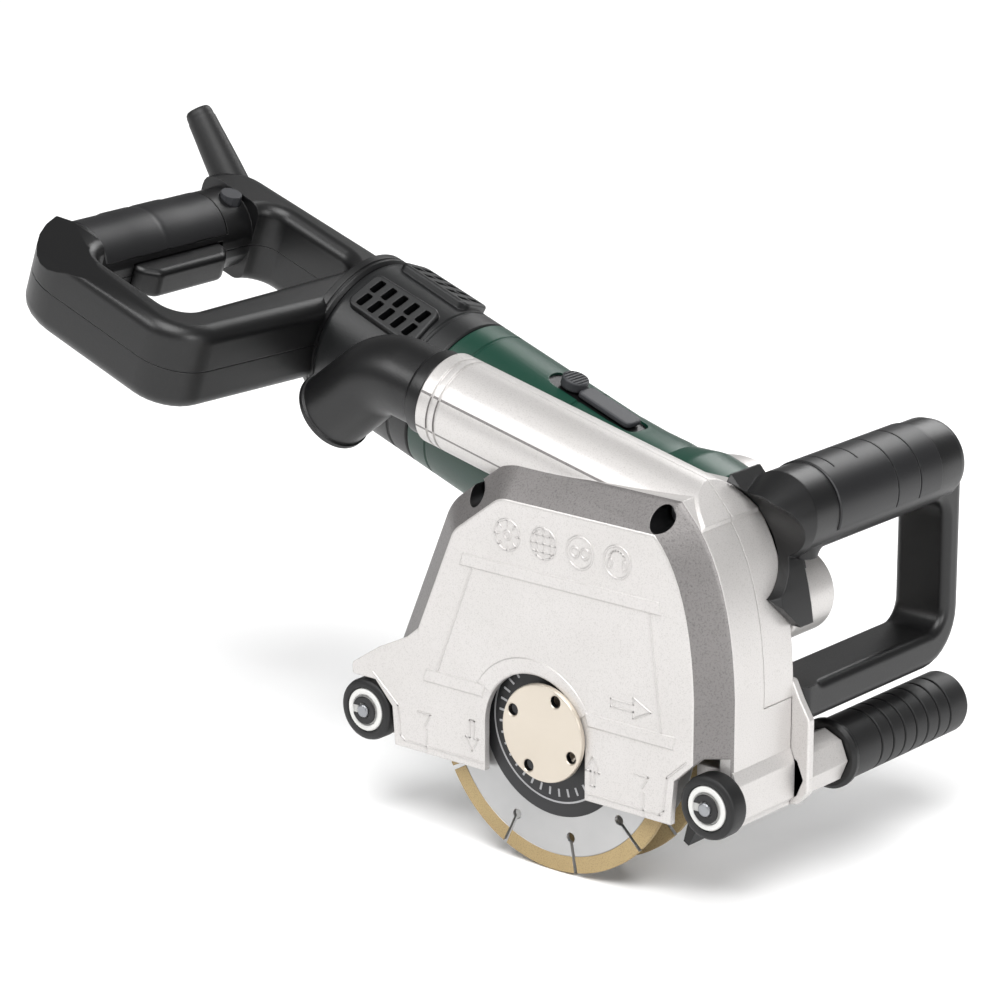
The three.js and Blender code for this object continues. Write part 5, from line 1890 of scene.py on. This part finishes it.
@dataclass
class GearCase:
    """The cast gear case: spindle housing, idler bulge, lay shaft drum and pivot lug."""

    frame: MotorFrame
    start: float = 61.0
    back: float = 90.0
    end: float = 127.0

    def build(self) -> None:
        """Builds the case and the plate that closes it towards the hood."""
        low = [(0, 0, 21.5), (*IDLER, 23), (*DRUM, 36)]
        lug = [(*DRUM_LUG, 26), (*PIVOT, 18.5)]
        case = cushioned(hull(low), self.start, self.back, 1.6, facing_y())
        case.add(
            cushioned(hull(lug), self.start, 88, 2.0, facing_y()),
            cushioned(disc_outline(36, 96, *DRUM), self.start, self.end, 2.5, facing_y()),
        )
        neck = self.frame.lathe([(0, -10), (36, -10), (36, 23.7), (0, 23.7)])
        neck.moved(self.frame.matrix()).cut(
            Blank.block((-400, -50, -FAR), (400, self.start + 0.2, 400)),
            Blank.block((-400, self.end - 0.2, -FAR), (400, FAR, 400)),
        )
        case.add(neck)
        head = [
            (0, 126), (3.4, 126), (3.4, 127.6), (2.9, 128.2), (1.6, 128.2), (1.6, 127.2), (0, 127.2)
        ]
        screw = Blank.turned(head, None, 24).moved(Matrix.Translation((29.5, 0, 0)))
        screws = Repeat(Layout.RING, MACHINED_STEEL).lay(
            screw, 4, 0.0, math.radians(75), place=facing_y(*DRUM)
        )
        case.cut(rod_y(PIN_BORE, 110, 140, 28, 69.2, 32), rod_y(PIN_BORE, 0, 200, *PIVOT, 32))
        case.with_loose(screws).piece(
            "gear_case_casting", "drive", ["gear_case"], "cast_silver", SILVER_PAINT,
            [(MACHINED_STEEL, self.on_screw)]
        )
        plate = cushioned(hull(low), 57, 60.7, 0.6, facing_y())
        plate.cut(rod_y(9.3, 0, 200, 0, 0, 48), rod_y(19.1, 0, 200, *PIVOT, 64))
        plate.piece("gear_case_plate", "drive", ["gear_plate"], "cast_silver", SILVER_PAINT)

    def on_screw(self, centre: Vector, normal: Vector) -> bool:
        """Tells whether a face is on a cover screw."""
        return centre.y > self.end + 0.05


# ------------------------------------------------------------------------------ rear handle


@dataclass
class RearHandle:
    """The rear loop handle in two shells, with its pad, trigger and cord sleeve."""

    frame: MotorFrame
    half: float = 20.0
    grip_y: float = 296.0
    cord_seat: Vector = field(default_factory=lambda: Vector((21, 303, 8)))
    cord_lean: float = math.radians(37)

    def cord_way(self) -> Vector:
        """Returns the way the cord leaves the handle."""
        return Vector((0, math.cos(self.cord_lean), math.sin(self.cord_lean)))

    def grip_rod(self, start: float, stop: float, radius: float, steps: int = 72) -> Blank:
        """Makes a round bar along the grip."""
        return rod(Vector((start, self.grip_y, 0)), Vector((stop, self.grip_y, 0)), radius, steps)

    def loop_outline(self) -> list[Point]:
        """Returns the loop's outside, across and along the motor axis.

        Returns:
            The points.
        """
        return filleted(
            [
                (-120, 202, 22), (-30, 198, 60), (28, 198, 9), (31, 222, 60), (28, 314, 17),
                (-119, 312, 34),
            ],
            8,
        )

    def hole_outline(self) -> list[Point]:
        """Returns the hand opening's outline."""
        return filleted([(-103, 221, 11), (14, 221, 11), (14, 278, 11), (-103, 278, 11)], 8)

    def shell(self, side: int) -> Blank:
        """Builds the upper or the lower shell.

        Args:
            side: 1 for the upper shell, -1 for the lower one.

        Returns:
            The shell in the motor's frame.
        """
        low, high = (0.15, 60) if side > 0 else (-60, -0.15)
        sides = [Blank.block((-400, 0, low), (400, 600, high)) for _ in range(2)]
        loop = cushioned(self.loop_outline(), -self.half, self.half, 7.0).keep(sides[0])
        loop.cut(cushioned(self.hole_outline(), -self.half, self.half, -6.0))
        collar = self.frame.lathe(
            [
                (0, 197.3), (33.6, 197.3), (35.2, 198.6), (35.2, 199.6), (34.5, 199.9),
                (34.5, 200.5), (35.2, 200.8), (35.2, 204), (0, 204),
            ]
        )
        shave = Blank.block((-92, 277, -40), (6, 400, 40))
        shave.cut(self.grip_rod(-93, 7, 18.5))
        trigger_room = Blank.block((-70.6, 258, -9.6), (-13.4, 294, 5.6))
        if side > 0:
            for corner, axis in (
                ((-93, 300, 19.6), (-0.42, 0.22, 0.88)),
                ((-106, 300, 15.5), (-0.68, 0.3, 0.67)),
            ):
                slab = facing(Vector(corner), Vector(axis))
                loop.cut(Blank.block((-200, -200, 0), (200, 200, 100), slab))
        seat = self.frame.lathe([(0, 190), (12, 190), (12, 211), (0, 211)])
        loop.add(collar.keep(sides[1])).cut(shave, trigger_room, seat)
        if side > 0:
            pad_room = self.grip_rod(-88, -10, 30, 48).cut(
                self.grip_rod(-93, 0, 16.9), Blank.block((-200, 0, -50), (200, 600, 8))
            )
            cord, way = self.cord_seat, self.cord_way()
            loop.cut(
                pad_room,
                rod(cord - way * 8, cord + way * 60, 8.55, 44),
                rod(Vector((1, 292, -1)), Vector((1, 292, 60)), PIN_BORE, 32),
            )
        return loop

    def pad(self) -> None:
        """Builds the soft grip panel with its two shallow finger swells."""
        length = 77.4
        profile = [
            (17.2, 0), (18.2, 0), (18.7, 0.7), (18.7, 20), (19.1, 22), (19.1, 36), (18.7, 38),
            (18.7, 40), (19.1, 42),
            (19.1, 56), (18.7, 58), (18.7, length - 0.7), (18.2, length), (17.2, length),
        ]
        place = facing(Vector((-87.7, self.grip_y, 0)), Vector((1, 0, 0)))
        pad = Blank.turned(profile, place, 96).cut(Blank.block((-200, 0, -50), (200, 600, 8.3)))
        pad.moved(self.frame.matrix()).piece(
            "rear_pad", "rear_handle", ["rear_grip_pad"], "soft_grip", SOFT_GRIP
        )

    def trigger(self) -> None:
        """Builds the trigger paddle."""
        outline = filleted(
            [
                (-70, 284, 1), (-70, 275, 6), (-62, 268.4, 6), (-20, 268.6, 6), (-14, 275, 6),
                (-14, 284, 1),
            ],
            6,
        )
        paddle = cushioned(outline, -9, 5, 3.0)
        paddle.moved(self.frame.matrix()).piece(
            "trigger_paddle", "trigger", ["trigger"], "handle_black", BLACK_PLASTIC_AND_PAINTED_SHADE
        )

    def sleeve(self) -> None:
        """Builds the tapered cord sleeve with its rounded mouth."""
        profile = [
            (4.2, -4), (8.3, -4), (8.3, 8), (8.1, 14), (7.6, 24), (7.0, 34), (6.7, 40.5),
            (6.4, 41.2), (6.4, 42.4), (6.3, 43.6), (5.9, 45), (5.2, 45.8), (4.2, 46),
        ]
        sleeve = Blank.turned(profile, facing(self.cord_seat, self.cord_way()), 60)
        sleeve.moved(self.frame.matrix()).piece(
            "cord_sleeve", "rear_handle", ["strain_relief"], "rubber", RUBBER
        )

    def build(self) -> None:
        """Builds the handle's pieces."""
        for side, word in ((1, "upper"), (-1, "lower")):
            self.shell(side).moved(self.frame.matrix()).piece(
                f"loop_{word}_shell", "rear_handle", [f"rear_handle_{word}"], "handle_black",
                BLACK_PLASTIC_AND_PAINTED_SHADE, crease=38
            )
        self.pad()
        self.trigger()
        self.sleeve()


# ------------------------------------------------------------------------------ carried parts


@dataclass
class CarriedParts:
    """The frame's own solids that keep their shape and only get a finish."""

    nodes: dict[str, bpy.types.Object]

    def finishes(self) -> dict[str, Finish]:
        """Returns each carried solid's finish.

        Returns:
            The finishes, by the solid's name.
        """
        steel = (
            "hood_screw_1", "hood_screw_2", "pivot_pin", "spindle", "spindle_gear",
            "support_flange",
            "disc_spacer_1", "disc_spacer_2", "idler_gear", "lay_shaft", "crown_gear",
            "spindle_bearing_near", "spindle_bearing_far", "lay_bearing", "rotor_bearing_front",
            "rotor_bearing_rear", "bevel_pinion", "rotor",
        )
        return {
            **dict.fromkeys(steel, MACHINED_STEEL),
            "pivot_cap": SILVER_PAINT,
            "dust_flap": RUBBER,
            "stator": COPPER,
            "fan": GREY_PLASTIC,
            "brush_holder_1": BRASS,
            "brush_holder_2": BRASS,
            "switch_module": GREY_PLASTIC,
            "lock_on_button": LIGHT_GREY_PLASTIC,
            "spindle_lock": BLACK_PLASTIC_AND_PAINTED_SHADE,
        }

    def dress(self) -> None:
        """Gives each carried solid its finish."""
        for name, finish in self.finishes().items():
            self.nodes[name].data.materials.clear()
            self.nodes[name].data.materials.append(finish.material())
            LOG.info("%s: finished in %s", name, finish.name)


# ------------------------------------------------------------------------------ studio


@dataclass
class Studio:
    """The pale floor, soft lights and the camera."""

    floor_z: float = -62.8
    target: Vector = field(default_factory=lambda: Vector((-24.84, 3.2, 95.25)))
    azimuth: float = math.radians(39.82)
    elevation: float = math.radians(16.89)
    distance: float = 1712.3
    lens: float = 150.4

    def floor(self) -> None:
        """Lays the floor."""
        mesh = bpy.data.meshes.new("studio_floor")
        size, z = 6.0, self.floor_z * MM
        mesh.from_pydata(
            [(-size, -size, z), (size, -size, z), (size, size, z), (-size, size, z)],
            [],
            [(0, 1, 2, 3)],
        )
        mesh.materials.append(FLOOR.material())
        floor = bpy.data.objects.new("studio_floor", mesh)
        bpy.context.scene.collection.objects.link(floor)

    def light(self, name: str, spot: Sequence[float], size: float, power: float) -> None:
        """Hangs a soft square light that faces the machine.

        Args:
            name: The light's name.
            spot: Where it hangs, in metres.
            size: Its side, in metres.
            power: Its power, in watts.
        """
        lamp = bpy.data.lights.new(name, "AREA")
        lamp.size = size
        lamp.energy = power
        lamp_object = bpy.data.objects.new(name, lamp)
        bpy.context.scene.collection.objects.link(lamp_object)
        lamp_object.location = spot
        aim = self.target * MM - Vector(spot)
        lamp_object.rotation_euler = aim.to_track_quat("-Z", "Y").to_euler()

    def camera(self) -> None:
        """Sets the camera."""
        data = bpy.data.cameras.new("camera")
        data.lens = self.lens
        data.sensor_width = 36
        data.clip_end = 50
        camera = bpy.data.objects.new("camera", data)
        bpy.context.scene.collection.objects.link(camera)
        ce = math.cos(self.elevation)
        away = Vector(
            (math.sin(self.azimuth) * ce, -math.cos(self.azimuth) * ce, math.sin(self.elevation))
        )
        camera.location = (self.target + away * self.distance) * MM
        camera.rotation_euler = (-away).to_track_quat("-Z", "Y").to_euler()
        bpy.context.scene.camera = camera

    def build(self) -> None:
        """Builds the studio."""
        self.camera()
        self.floor()
        world = bpy.data.worlds.new("studio")
        world.use_nodes = True
        background = world.node_tree.nodes["Background"]
        background.inputs["Color"].default_value = (1, 1, 1, 1)
        background.inputs["Strength"].default_value = 0.22
        bpy.context.scene.world = world
        bpy.context.scene.view_settings.view_transform = "Standard"
        sun = bpy.data.lights.new("sky", "SUN")
        sun.energy = 3.0
        sun.angle = math.radians(45)
        sky = bpy.data.objects.new("sky", sun)
        bpy.context.scene.collection.objects.link(sky)
        sky.rotation_euler = Vector((-0.3, 0.45, -1)).to_track_quat("-Z", "Y").to_euler()
        self.light("key", (-0.9, -1.4, 1.3), 0.7, 12)
        self.light("side", (1.7, -0.5, 0.7), 0.7, 13)
        self.light("back", (-0.2, 1.5, 1.1), 0.9, 12)


def main() -> None:
    """Builds the whole machine over its frame."""
    logging.basicConfig(level=logging.INFO, format="%(message)s")
    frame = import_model()
    Studio().build()
    hood = Hood()
    motor = MotorFrame()
    hood.build()
    for part in (
        Elbow(hood),
        GuideWheel("front", FRONT_X),
        GuideWheel("rear", REAR_X),
        Roller(),
        DiscStack(),
        FrontHandle(hood),
        Motor(motor),
        GearCase(motor),
        RearHandle(motor),
    ):
        part.build()
    CarriedParts(frame["nodes"]).dress()


if __name__ == "__main__":
    main()
